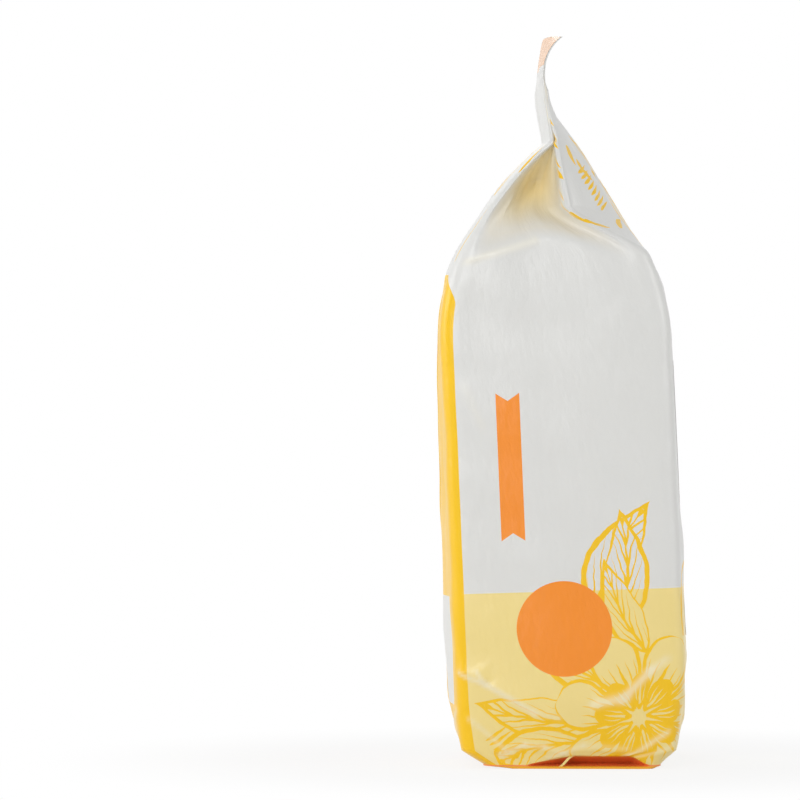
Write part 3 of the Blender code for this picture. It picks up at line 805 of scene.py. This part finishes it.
def add(tree, kind, inputs=(), **settings):
    """Adds a node with its settings and its inputs, each a value or another node's output.

    A kind in capitals is an operation of the Math node.
    """
    if kind.isupper():
        kind, settings = "Math", {"operation": kind, **settings}
    node = tree.nodes.new(kind if kind.startswith("Node") else "ShaderNode" + kind)
    for name, value in settings.items():
        setattr(node, name, value)
    for place, value in enumerate(inputs):
        if isinstance(value, bpy.types.NodeSocket):
            tree.links.new(value, node.inputs[place])
        elif value is not None:
            node.inputs[place].default_value = value
    return node.outputs[0] if node.outputs else node


def motif(name):
    """An empty group of nodes that takes a place on the web and gives the ink there and the motif's area."""
    tree = bpy.data.node_groups.new(name, "ShaderNodeTree")
    tree.interface.new_socket("Place", in_out="INPUT", socket_type="NodeSocketVector")
    tree.interface.new_socket("Ink", in_out="OUTPUT", socket_type="NodeSocketFloat")
    tree.interface.new_socket("Inside", in_out="OUTPUT", socket_type="NodeSocketFloat")
    place = add(tree, "NodeGroupInput")
    return tree, place


def hump(tree, share, skew, height):
    """A round hump over a share that runs from 0 to 1, nearer its start the smaller the skew."""
    share = add(tree, "POWER", [share, skew])
    share = add(tree, "MULTIPLY", [share, math.pi])
    share = add(tree, "SINE", [share])
    return add(tree, "MULTIPLY", [share, height])


def rectangle(tree, x, y, place):
    """1 inside a rectangle of the print and 0 outside it. place is its left, right, low and high."""
    left, right, low, high = place
    across = add(tree, "COMPARE", [x, (left + right) / 2, (right - left) / 2])
    up = add(tree, "COMPARE", [y, (low + high) / 2, (high - low) / 2])
    return add(tree, "MULTIPLY", [across, up])


def leaf_motif():
    """A leaf along X from 0 to 1 and half a unit to each side: a drawn outline, a rib and tapered veins."""
    tree, place = motif("leaf")
    x = add(tree, "SeparateXYZ", [place])
    bent = add(tree, "MULTIPLY", [x, x])
    bent = add(tree, "SUBTRACT", [bent, x])
    y = add(tree, "MULTIPLY_ADD", [bent, LEAF_BEND, x.node.outputs["Y"]])
    aside = add(tree, "ABSOLUTE", [y])
    along = add(tree, "MAXIMUM", [x, 0.0])
    along = add(tree, "MINIMUM", [along, 1.0])
    room = add(tree, "SUBTRACT", [hump(tree, along, LEAF_SKEW, LEAF_HALF_WIDTH), aside])
    inside = add(tree, "GREATER_THAN", [room, 0.0])
    line = add(tree, "MULTIPLY_ADD", [y, LEAF_LINE_LEAN, LEAF_LINE])
    drawn = add(tree, "LESS_THAN", [room, line])
    rib_width = add(tree, "MULTIPLY_ADD", [x, RIB_TAPER, RIB_WIDTH])
    rib = add(tree, "LESS_THAN", [aside, rib_width])
    vein = add(tree, "MULTIPLY_ADD", [aside, VEIN_SLANT, x])
    vein = add(tree, "MULTIPLY", [vein, VEIN_COUNT])
    vein = add(tree, "FRACT", [vein])
    taper = add(tree, "MULTIPLY_ADD", [aside, VEIN_TAPER, VEIN_SHARE])
    veins = add(tree, "LESS_THAN", [vein, taper])
    drawn = add(tree, "MAXIMUM", [drawn, rib])
    drawn = add(tree, "MAXIMUM", [drawn, veins])
    ink = add(tree, "MULTIPLY", [drawn, inside])
    add(tree, "NodeGroupOutput", [ink, inside])
    return tree


def stroke_motif():
    """A filled brush stroke along X from 0 to 1, widest near its start."""
    tree, place = motif("stroke")
    x = add(tree, "SeparateXYZ", [place])
    aside = add(tree, "ABSOLUTE", [x.node.outputs["Y"]])
    share = add(tree, "MapRange", [x, 0.0, 1.0, 0.0, 1.0])
    ink = add(tree, "LESS_THAN", [aside, hump(tree, share, STROKE_SKEW, 0.5)])
    add(tree, "NodeGroupOutput", [ink, ink])
    return tree


def petal_ring(tree, turn, radius, petals, hatches, hatch_end, filled):
    """A ring of petals: where they are, and their ink. turn is the angle as a share of a full turn."""
    count, start, end = petals
    step = add(tree, "MULTIPLY", [turn, count])
    step = add(tree, "FRACT", [step])
    aside = add(tree, "SUBTRACT", [step, 0.5])
    aside = add(tree, "ABSOLUTE", [aside])
    along = add(tree, "MapRange", [radius, start, end, 0.0, 1.0])
    arch = add(tree, "MULTIPLY", [along, math.pi])
    arch = add(tree, "SINE", [arch])
    arch = add(tree, "POWER", [arch, PETAL_BLUNTNESS])
    arch = add(tree, "MULTIPLY", [arch, PETAL_HALF_WIDTH])
    room = add(tree, "SUBTRACT", [arch, aside])
    inside = add(tree, "GREATER_THAN", [room, 0.0])
    line = add(tree, "DIVIDE", [PETAL_LINE, radius])
    drawn = add(tree, "LESS_THAN", [room, line])
    stroke = add(tree, "MULTIPLY", [aside, hatches])
    stroke = add(tree, "FRACT", [stroke])
    taper = add(tree, "MapRange", [along, 0.0, hatch_end, 0.8, 0.0])
    strokes = add(tree, "LESS_THAN", [stroke, taper])
    if filled:
        strokes = add(tree, "SUBTRACT", [1.0, strokes])
    drawn = add(tree, "MAXIMUM", [drawn, strokes])
    return inside, drawn


def flower_motif():
    """An open flower of radius 1: a wide ring of hatched petals, a dense inner ring and a toothed centre."""
    tree, place = motif("flower")
    x = add(tree, "SeparateXYZ", [place])
    radius = add(tree, "VectorMath", [place], operation="LENGTH").node.outputs["Value"]
    turn = add(tree, "ARCTAN2", [x.node.outputs["Y"], x])
    turn = add(tree, "MULTIPLY_ADD", [turn, 0.5 / math.pi, 0.5])
    outer, ink = petal_ring(tree, turn, radius, OUTER_PETALS, 6.0, 0.66, False)
    ink = add(tree, "MULTIPLY", [ink, outer])
    inner, dense = petal_ring(tree, turn, radius, INNER_PETALS, 5.0, 0.78, True)
    ink = add(tree, "Mix", [inner, None, ink, dense])
    tooth = add(tree, "MULTIPLY", [turn, CENTRE_TEETH * 2 * math.pi])
    tooth = add(tree, "SINE", [tooth])
    rim = add(tree, "MULTIPLY_ADD", [tooth, CENTRE_TOOTH, CENTRE_RADIUS])
    centre = add(tree, "LESS_THAN", [radius, rim])
    eye = add(tree, "LESS_THAN", [radius, EYE_RADIUS])
    ink = add(tree, "MAXIMUM", [ink, centre])
    ink = add(tree, "SUBTRACT", [ink, eye], use_clamp=True)
    whole = add(tree, "MAXIMUM", [inner, outer])
    add(tree, "NodeGroupOutput", [ink, whole])
    return tree


def botanical_print(tree, web):
    """The golden leaves and flowers, with a line that wavers a little as if drawn by hand."""
    grain = add(tree, "TexNoise", [web, None, WAVER_SCALE, 2.0]).node.outputs["Color"]
    waver = add(tree, "VectorMath", [grain, (0.5, 0.5, 0.5)], operation="SUBTRACT")
    drawn_web = add(tree, "VectorMath", [waver, (WAVER, WAVER, 0), web], operation="MULTIPLY_ADD")
    leaf, flower, stroke = leaf_motif(), flower_motif(), stroke_motif()
    drawn = [(leaf, *place) for place in LEAVES] + [(stroke, *place) for place in STROKES]
    drawn += [(flower, u, v, angle, radius, radius) for u, v, angle, radius in FLOWERS]
    ink = 0.0
    for kind, u, v, angle, length, width in drawn:
        inputs = [drawn_web, (u, v, 0), (0, 0, math.radians(angle)), (length, width, 1)]
        local = add(tree, "Mapping", inputs, vector_type="TEXTURE")
        motif_ink = add(tree, "Group", [local], node_tree=kind)
        ink = add(tree, "Mix", [motif_ink.node.outputs["Inside"], None, ink, motif_ink])
    return ink


def line_icons(tree, web):
    """Four plain line icons down the far side panel: a leaf, a plus, a drop and a hexagon, each in a ring."""
    ink = 0.0
    for kind, v in ICONS:
        inputs = [web, (ICON_COLUMN, v, 0), (0, 0, math.radians(90))]
        local = add(tree, "Mapping", inputs, vector_type="TEXTURE")
        x = add(tree, "SeparateXYZ", [local])
        radius = add(tree, "VectorMath", [local], operation="LENGTH").node.outputs["Value"]
        lines = [add(tree, "COMPARE", [radius, ICON_RING_RADIUS, ICON_LINE])]
        aside = add(tree, "ABSOLUTE", [x.node.outputs["Y"]])
        along = add(tree, "ABSOLUTE", [x])
        if kind == "plus":
            least = add(tree, "MINIMUM", [aside, along])
            most = add(tree, "MAXIMUM", [aside, along])
            outer = rectangle(tree, least, most, PLUS_OUTER)
            inner = rectangle(tree, least, most, PLUS_INNER)
            lines.append(add(tree, "SUBTRACT", [outer, inner]))
        elif kind == "hexagon":
            slant = add(tree, "MULTIPLY", [along, 0.5])
            slant = add(tree, "MULTIPLY_ADD", [aside, 0.866, slant])
            reach = add(tree, "MAXIMUM", [slant, along])
            lines.append(add(tree, "COMPARE", [reach, HEXAGON_RADIUS, ICON_LINE]))
            lines.append(add(tree, "COMPARE", [radius, HOLE_RADIUS, HOLE_LINE]))
        else:
            skew, half_width = (LEAF_SKEW, 2.3) if kind == "leaf" else (0.45, 2.8)
            share = add(tree, "MapRange", [x, -ICON_REACH, ICON_REACH, 0.0, 1.0])
            line = add(tree, "COMPARE", [hump(tree, share, skew, half_width), aside, CURVE_LINE])
            on_icon = add(tree, "COMPARE", [x, 0.0, ICON_REACH])
            lines.append(add(tree, "MULTIPLY", [line, on_icon]))
            if kind == "leaf":
                lines.append(rectangle(tree, aside, x, LEAF_RIB))
        for line in lines:
            ink = add(tree, "MAXIMUM", [ink, line])
    return ink


def film_print(tree, web):
    """The whole print of the web as a colour, from the white ground up."""
    u = add(tree, "SeparateXYZ", [web])
    v = u.node.outputs["Y"]
    field = rectangle(tree, u, v, (PRINT_START, PRINT_END, PRINT_LOW, FIELD_HEIGHT))
    paint = add(tree, "MixRGB", [field, colour(FILM_WHITE), colour(PALE_YELLOW)])
    paint = add(tree, "MixRGB", [botanical_print(tree, web), paint, colour(GOLDEN)])
    inputs = [v, BAND_POINT_START, BAND_POINT_END, 0.0, BAND_POINT_DEPTH]
    point = add(tree, "MapRange", inputs, interpolation_type="SMOOTHSTEP")
    near_u = add(tree, "ADD", [u, point])
    far_u = add(tree, "SUBTRACT", [u, point])
    fields = [
        (u, (PRINT_START, NEAR_BAND_EDGE, SEAL_FIELD_START, PRINT_HIGH), SEAL_PEACH),
        (u, (FAR_BAND_EDGE, PRINT_END, SEAL_FIELD_START, PRINT_HIGH), SEAL_PEACH),
        (near_u, (NEAR_BAND_END, NEAR_BAND_EDGE, PRINT_LOW, BACK_FIELD_TOP), GOLDEN),
        (far_u, (FAR_BAND_EDGE, FAR_BAND_END, PRINT_LOW, BACK_FIELD_TOP), GOLDEN),
        (u, (PRINT_START, NEAR_BAND_END, PRINT_LOW, BACK_FIELD_TOP), BACK_ORANGE),
        (u, (FAR_BAND_END, PRINT_END, PRINT_LOW, BACK_FIELD_TOP), BACK_ORANGE),
    ]
    fields += [(u, box, FILM_WHITE) for box in WHITE_BOXES]
    for x, place, code in fields:
        paint = add(tree, "MixRGB", [rectangle(tree, x, v, place), paint, colour(code)])
    rules = add(tree, "DIVIDE", [v, RULE_PITCH])
    rules = add(tree, "FRACT", [rules])
    rules = add(tree, "LESS_THAN", [rules, RULE_SHARE])
    rules = add(tree, "MULTIPLY", [rules, rectangle(tree, u, v, RULES)])
    paint = add(tree, "MixRGB", [rules, paint, colour(FILM_WHITE)])
    bars = add(tree, "TexNoise", [add(tree, "CombineXYZ", [u]), None, BAR_SCALE, 1.0])
    bars = add(tree, "GREATER_THAN", [bars, BAR_SHARE])
    bars = add(tree, "MULTIPLY", [bars, rectangle(tree, u, v, BARS)])
    paint = add(tree, "MixRGB", [bars, paint, colour(INK_GREY)])
    paint = add(tree, "MixRGB", [line_icons(tree, web), paint, colour(INK_GREY)])
    local = add(tree, "Mapping", [web, (*ROUNDEL_PLACE, 0)], vector_type="TEXTURE")
    radius = add(tree, "VectorMath", [local], operation="LENGTH").node.outputs["Value"]
    roundel = add(tree, "LESS_THAN", [radius, ROUNDEL_RADIUS])
    paint = add(tree, "MixRGB", [roundel, paint, colour(ORANGE)])
    local = add(tree, "Mapping", [web, (*RIBBON_MIDDLE, 0)], vector_type="TEXTURE")
    across = add(tree, "SeparateXYZ", [local])
    along = add(tree, "ABSOLUTE", [across.node.outputs["Y"]])
    aside = add(tree, "ABSOLUTE", [across])
    along = add(tree, "MULTIPLY_ADD", [aside, -RIBBON_NOTCH / RIBBON_HALF_WIDTH, along])
    end = RIBBON_HALF_LENGTH - RIBBON_NOTCH
    ribbon = rectangle(tree, aside, along, (-RIBBON_HALF_WIDTH, RIBBON_HALF_WIDTH, -end, end))
    return add(tree, "MixRGB", [ribbon, paint, colour(ORANGE)])


# Where the recess's painted shade and painted light set in and reach full strength, and how they pale
# upwards.
RECESS_EDGE = (0.01, 0.12)
RECESS_SHADE = 0.8
RECESS_DEPTH = (0.16, 0.80)
RECESS_RISE = (210.0, 236.0)
CREASE_HIGHLIGHT_SHARE = 0.55
SHEEN_SCALE = 0.045
ROUGHNESS = (0.30, 0.39)
CRACKLE_SCALE = 0.22
CRACKLE_TURN = 12
CRACKLE_STRETCH = (0.6, 1.5, 1)
CRACKLE_HEIGHT = 0.45
SOFT_SCALE = 0.06
SOFT_WEIGHT = 1.6
SEAL_RIBS_START = 263.0
SEAL_RIBS_FULL = 266.0
RIB_HEIGHT = 0.10
RELIEF_STRENGTH = 0.5
RELIEF_DISTANCE = 0.001

film = bpy.data.materials.new("printed_pet_pe_laminate")
film.use_nodes = True
tree = film.node_tree
shader = tree.nodes["Principled BSDF"]
web = add(tree, "UVMap", uv_map="film")
place = add(tree, "SeparateXYZ", [web])
paint = film_print(tree, web)
# Painted light and shade in the tucked recess: a cream painted shade at its edge, then a warm tan painted
# light deeper in, paler towards the seal, standing in for light that comes through the film and its golden
# print.
recess_paint_share = add(tree, "Attribute", attribute_name="recess_light_and_shade").node.outputs["Fac"]
shade = add(tree, "MapRange", [recess_paint_share, *RECESS_EDGE, 0.0, RECESS_SHADE])
paint = add(tree, "MixRGB", [shade, paint, colour(RECESS_SHADE_CREAM)])
recess_light_share = add(tree, "MapRange", [recess_paint_share, *RECESS_DEPTH, 0.0, 1.0])
rise = add(tree, "MapRange", [place.node.outputs["Y"], *RECESS_RISE, 0.0, 1.0])
recess_light = add(tree, "MixRGB", [rise, colour(RECESS_LIGHT_TAN), colour(RECESS_LIGHT_TOP)])
paint = add(tree, "MixRGB", [recess_light_share, paint, recess_light])
# Along its sharp creases the colour is lightened: a painted highlight where the creases catch the light.
highlighted = add(tree, "Attribute", attribute_name="crease_highlight").node.outputs["Fac"]
highlighted = add(tree, "MULTIPLY", [highlighted, CREASE_HIGHLIGHT_SHARE])
paint = add(tree, "MixRGB", [highlighted, paint, colour(CREASE_HIGHLIGHT)])
# Under the body the film shows its gold underside print; inside the mouth the orange print is darkened as
# painted shade.
for name, code in (("under_body", FLAP_GOLD), ("in_mouth", MOUTH_SHADE_ORANGE)):
    share = add(tree, "Attribute", attribute_name=name).node.outputs["Fac"]
    paint = add(tree, "MixRGB", [share, paint, colour(code)])
tree.links.new(paint, shader.inputs["Base Color"])
# Satin face: the sheen is uneven in patches of about 20 mm, with handling marks about 5 mm across.
patches = add(tree, "TexNoise", [web, None, SHEEN_SCALE, 3.0])
roughness = add(tree, "MapRange", [patches, 0.3, 0.7, *ROUGHNESS])
tree.links.new(roughness, shader.inputs["Roughness"])
shader.inputs["IOR"].default_value = 1.5
inputs = [web, None, (0, 0, math.radians(CRACKLE_TURN)), CRACKLE_STRETCH]
stretched = add(tree, "Mapping", inputs, vector_type="TEXTURE")
crackle = add(tree, "TexNoise", [stretched, None, CRACKLE_SCALE, 4.0, 0.55])
soft = add(tree, "TexNoise", [web, None, SOFT_SCALE, 2.0])
handled = add(tree, "MULTIPLY_ADD", [soft, SOFT_WEIGHT, crackle])
# Crimp ribs run up the end seal over the front and the back, 1.25 mm apart and 0.2 mm deep.
ribs = add(tree, "MULTIPLY", [place, 2 * math.pi / RIB_PITCH])
ribs = add(tree, "SINE", [ribs])
in_seal = add(tree, "MapRange", [place.node.outputs["Y"], SEAL_RIBS_START, SEAL_RIBS_FULL, 0.0, RIB_HEIGHT])
ribs = add(tree, "MULTIPLY", [ribs, in_seal])
for side_middle in (0.0, FAR_MIDDLE):
    on_side = add(tree, "COMPARE", [place, side_middle, SIDE_FLAT / 2 + CORNER_LENGTH])
    off_side = add(tree, "SUBTRACT", [1.0, on_side])
    ribs = add(tree, "MULTIPLY", [ribs, off_side])
height = add(tree, "MULTIPLY_ADD", [handled, CRACKLE_HEIGHT, ribs])
bump = add(tree, "Bump", [RELIEF_STRENGTH, RELIEF_DISTANCE, None, height])
tree.links.new(bump, shader.inputs["Normal"])
wrapper.data.materials.append(film)
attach(wrapper, "root")
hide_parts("wrapper")


# Reseal label
# A die-cut sheet of gloss polypropylene label film, 0.25 mm with its adhesive, stuck over the opening in the
# front panel. Its lift tab at the lower end carries no adhesive and stands off the pack a little.
LABEL_CORNER_RADIUS = 0.012
LABEL_THICKNESS = 0.00015
LABEL_CLEARANCE = 0.0001
TAB_WIDTH = 0.022
TAB_LENGTH = 0.009
TAB_END_SHARE = 0.2
TAB_LIFT = 0.0002
LABEL_COLUMNS = 40
LABEL_ROWS = 84
LABEL_BORDER = 0.0022
BORDER_LINE = 0.0007
OPENING_WIDTH = 0.034
OPENING_LENGTH = 0.070
OPENING_RADIUS = 0.012
TAB_MARGIN = 0.0003
LABEL_SHARP_ANGLE = 60
END_MARGIN = 0.004
ROW_CROWDING = 0.045
LABEL_WHITE = "eeeeec"
LABEL_ROUGHNESS = 0.24
LABEL_SPRIG_RADIUS = 22
OPENING_LINE = 0.7
LABEL_WAVES_SCALE = 0.05
LABEL_WAVES_WEIGHT = 1.2
LABEL_RELIEF_STRENGTH = 0.35


def label_half_width(distance):
    """Half the label's width at a distance from its tab's end: the rounded tab, then the rounded body."""
    tab_half = TAB_WIDTH / 2
    body = distance - TAB_LENGTH
    rounding = max(tab_half - distance, 0)
    tab = math.sqrt(tab_half**2 - rounding**2) if distance < tab_half else tab_half
    if body <= 0:
        return max(tab, tab_half * TAB_END_SHARE)
    from_end = min(body, LABEL_LENGTH - body)
    rounding = max(LABEL_CORNER_RADIUS - from_end, 0)
    inset = LABEL_CORNER_RADIUS - math.sqrt(max(LABEL_CORNER_RADIUS**2 - rounding**2, 0))
    return max(LABEL_WIDTH / 2 - inset, tab if body < TAB_LENGTH else 0)


label_end = TAB_LENGTH + LABEL_LENGTH
label_low = LABEL_CENTRE_HEIGHT - LABEL_LENGTH / 2 - TAB_LENGTH
shares = np.linspace(END_MARGIN, 1 - END_MARGIN, LABEL_ROWS + 1)
distances = label_end * (shares - ROW_CROWDING * np.sin(2 * np.pi * shares))
net = bmesh.new()
bmesh.ops.create_grid(net, x_segments=LABEL_COLUMNS, y_segments=LABEL_ROWS, size=1)
net.verts.ensure_lookup_table()
label_map = net.loops.layers.uv.new("label")
for index, vertex in enumerate(net.verts):
    row, column = divmod(index, LABEL_COLUMNS + 1)
    distance = distances[row]
    y = label_half_width(distance) * (2 * column / LABEL_COLUMNS - 1)
    z = label_low + distance
    place = placed(front_points(z, np.array([y])), z)[0]
    lift = LABEL_CLEARANCE + TAB_LIFT * max(1 - distance / TAB_LENGTH, 0) ** 2
    vertex.co = Vector(place) + Vector((wrapper_shift + lift, 0, 0))
    for loop in vertex.link_loops:
        loop[label_map].uv = (y * MM, (z - LABEL_CENTRE_HEIGHT) * MM)
bmesh.ops.solidify(net, geom=net.faces[:], thickness=-LABEL_THICKNESS)
bmesh.ops.recalc_face_normals(net, faces=net.faces[:])
label = stood("reseal_label_film", finished_mesh("reseal_label_film", net, LABEL_SHARP_ANGLE))


def rounded_frame(tree, place, half_width, half_length, radius):
    """How far a place is outside a rectangle with rounded corners, in millimetres, negative inside it."""
    x = add(tree, "SeparateXYZ", [place])
    parts = []
    for part, half in ((x, half_width), (x.node.outputs["Y"], half_length)):
        part = add(tree, "ABSOLUTE", [part])
        part = add(tree, "SUBTRACT", [part, (half - radius) * MM])
        parts.append(add(tree, "MAXIMUM", [part, 0.0]))
    corner = add(tree, "CombineXYZ", parts)
    out = add(tree, "VectorMath", [corner], operation="LENGTH").node.outputs["Value"]
    return add(tree, "SUBTRACT", [out, radius * MM])


label_film = bpy.data.materials.new("gloss_polypropylene_label")
label_film.use_nodes = True
tree = label_film.node_tree
shader = tree.nodes["Principled BSDF"]
place = add(tree, "UVMap", uv_map="label")
edge = rounded_frame(tree, place, LABEL_WIDTH / 2, LABEL_LENGTH / 2, LABEL_CORNER_RADIUS)
line_middle = -(LABEL_BORDER + BORDER_LINE / 2) * MM
border = add(tree, "COMPARE", [edge, line_middle, BORDER_LINE / 2 * MM])
height = add(tree, "SeparateXYZ", [place]).node.outputs["Y"]
on_tab = add(tree, "LESS_THAN", [height, -(LABEL_LENGTH / 2 + TAB_MARGIN) * MM])
inputs = [place, None, (0, 0, math.radians(90)), (LABEL_SPRIG_RADIUS, LABEL_SPRIG_RADIUS, 1)]
sprig = add(tree, "Mapping", inputs, vector_type="TEXTURE")
sprig = add(tree, "Group", [sprig], node_tree=bpy.data.node_groups["flower"])
ink = add(tree, "MAXIMUM", [border, sprig])
paint = add(tree, "MixRGB", [ink, colour(LABEL_WHITE), colour(GOLDEN)])
paint = add(tree, "MixRGB", [on_tab, paint, colour(ORANGE)])
tree.links.new(paint, shader.inputs["Base Color"])
shader.inputs["Roughness"].default_value = LABEL_ROUGHNESS
shader.inputs["IOR"].default_value = 1.5
# The cut edge of the pack's opening shows through the label as a raised line.
opening = rounded_frame(tree, place, OPENING_WIDTH / 2, OPENING_LENGTH / 2, OPENING_RADIUS)
opening = add(tree, "ABSOLUTE", [opening])
opening = add(tree, "MapRange", [opening, 0.0, OPENING_LINE, 1.0, 0.0], interpolation_type="SMOOTHSTEP")
waves = add(tree, "TexNoise", [place, None, LABEL_WAVES_SCALE, 2.0])
height = add(tree, "MULTIPLY_ADD", [waves, LABEL_WAVES_WEIGHT, opening])
bump = add(tree, "Bump", [LABEL_RELIEF_STRENGTH, RELIEF_DISTANCE, None, height])
tree.links.new(bump, shader.inputs["Normal"])
label.data.materials.append(label_film)
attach(label, "root")
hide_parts("reseal_label")


# Floor, backdrop and lamps
# A plain white packshot table under large soft lamps. Past the pack's own shadow it runs out to pure white.
FLOOR_SIZE = 4.0
FLOOR_WHITE = 0.8
FLOOR_ROUGHNESS = 0.9
FLOOR_LIT_SHARE = 0.15
SHADOW_REACH = (0.09, 0.22)
AMBIENT = 0.41
LAMP_SIZE = 0.7
LAMPS = [
    ("key_lamp", (-0.55, -1.6, 0.60), 9.5),
    ("fill_lamp", (1.5, -0.4, 0.6), 5.0),
    ("side_lamp", (-1.5, 0.0, 0.5), 6.0),
    ("back_lamp", (-0.5, 1.3, 1.3), 6.0),
]


def sees_backdrop(tree):
    """1 for the rays that meet the white backdrop itself: from the camera, mirrored or let through."""
    rays = add(tree, "LightPath").node.outputs
    seen = add(tree, "MAXIMUM", [rays["Is Camera Ray"], rays["Is Glossy Ray"]])
    return add(tree, "MAXIMUM", [seen, rays["Is Transmission Ray"]])


floor_net = bmesh.new()
bmesh.ops.create_grid(floor_net, x_segments=1, y_segments=1, size=FLOOR_SIZE)
floor_mesh = bpy.data.meshes.new("floor")
floor_net.to_mesh(floor_mesh)
floor_net.free()
floor = stood("floor", floor_mesh)
table = bpy.data.materials.new("white_table_board")
table.use_nodes = True
tree = table.node_tree
shader = tree.nodes["Principled BSDF"]
shader.inputs["Base Color"].default_value = (FLOOR_WHITE, FLOOR_WHITE, FLOOR_WHITE, 1)
shader.inputs["Roughness"].default_value = FLOOR_ROUGHNESS
place = add(tree, "TexCoord").node.outputs["Object"]
reach = add(tree, "VectorMath", [place], operation="LENGTH").node.outputs["Value"]
inputs = [reach, *SHADOW_REACH, 1 - FLOOR_LIT_SHARE, 1.0]
plain = add(tree, "MapRange", inputs, interpolation_type="SMOOTHSTEP")
white = add(tree, "Emission")
share = add(tree, "MULTIPLY", [sees_backdrop(tree), plain])
blend = add(tree, "MixShader", [share, shader.outputs["BSDF"], white])
tree.links.new(blend, tree.nodes["Material Output"].inputs["Surface"])
floor_mesh.materials.append(table)

world = bpy.data.worlds.new("studio")
bpy.context.scene.world = world
world.use_nodes = True
tree = world.node_tree
tree.nodes["Background"].inputs["Strength"].default_value = AMBIENT
tree.nodes["Background"].inputs["Color"].default_value = (1, 1, 1, 1)
backdrop = add(tree, "Background", [(1, 1, 1, 1), 1.0])
blend = add(tree, "MixShader", [sees_backdrop(tree), tree.nodes["Background"].outputs[0], backdrop])
tree.links.new(blend, tree.nodes["World Output"].inputs["Surface"])
# Square soft lamps that face the middle of the pack.
for name, place, watts in LAMPS:
    lamp_data = bpy.data.lights.new(name, "AREA")
    lamp_data.size = LAMP_SIZE
    lamp_data.energy = watts
    lamp = stood(name, lamp_data)
    lamp.location = place
    to_pack = Vector((0, 0, TOP_HEIGHT / 2)) - Vector(place)
    lamp.rotation_euler = to_pack.to_track_quat("-Z", "Y").to_euler()

bpy.context.scene.view_settings.view_transform = "Standard"
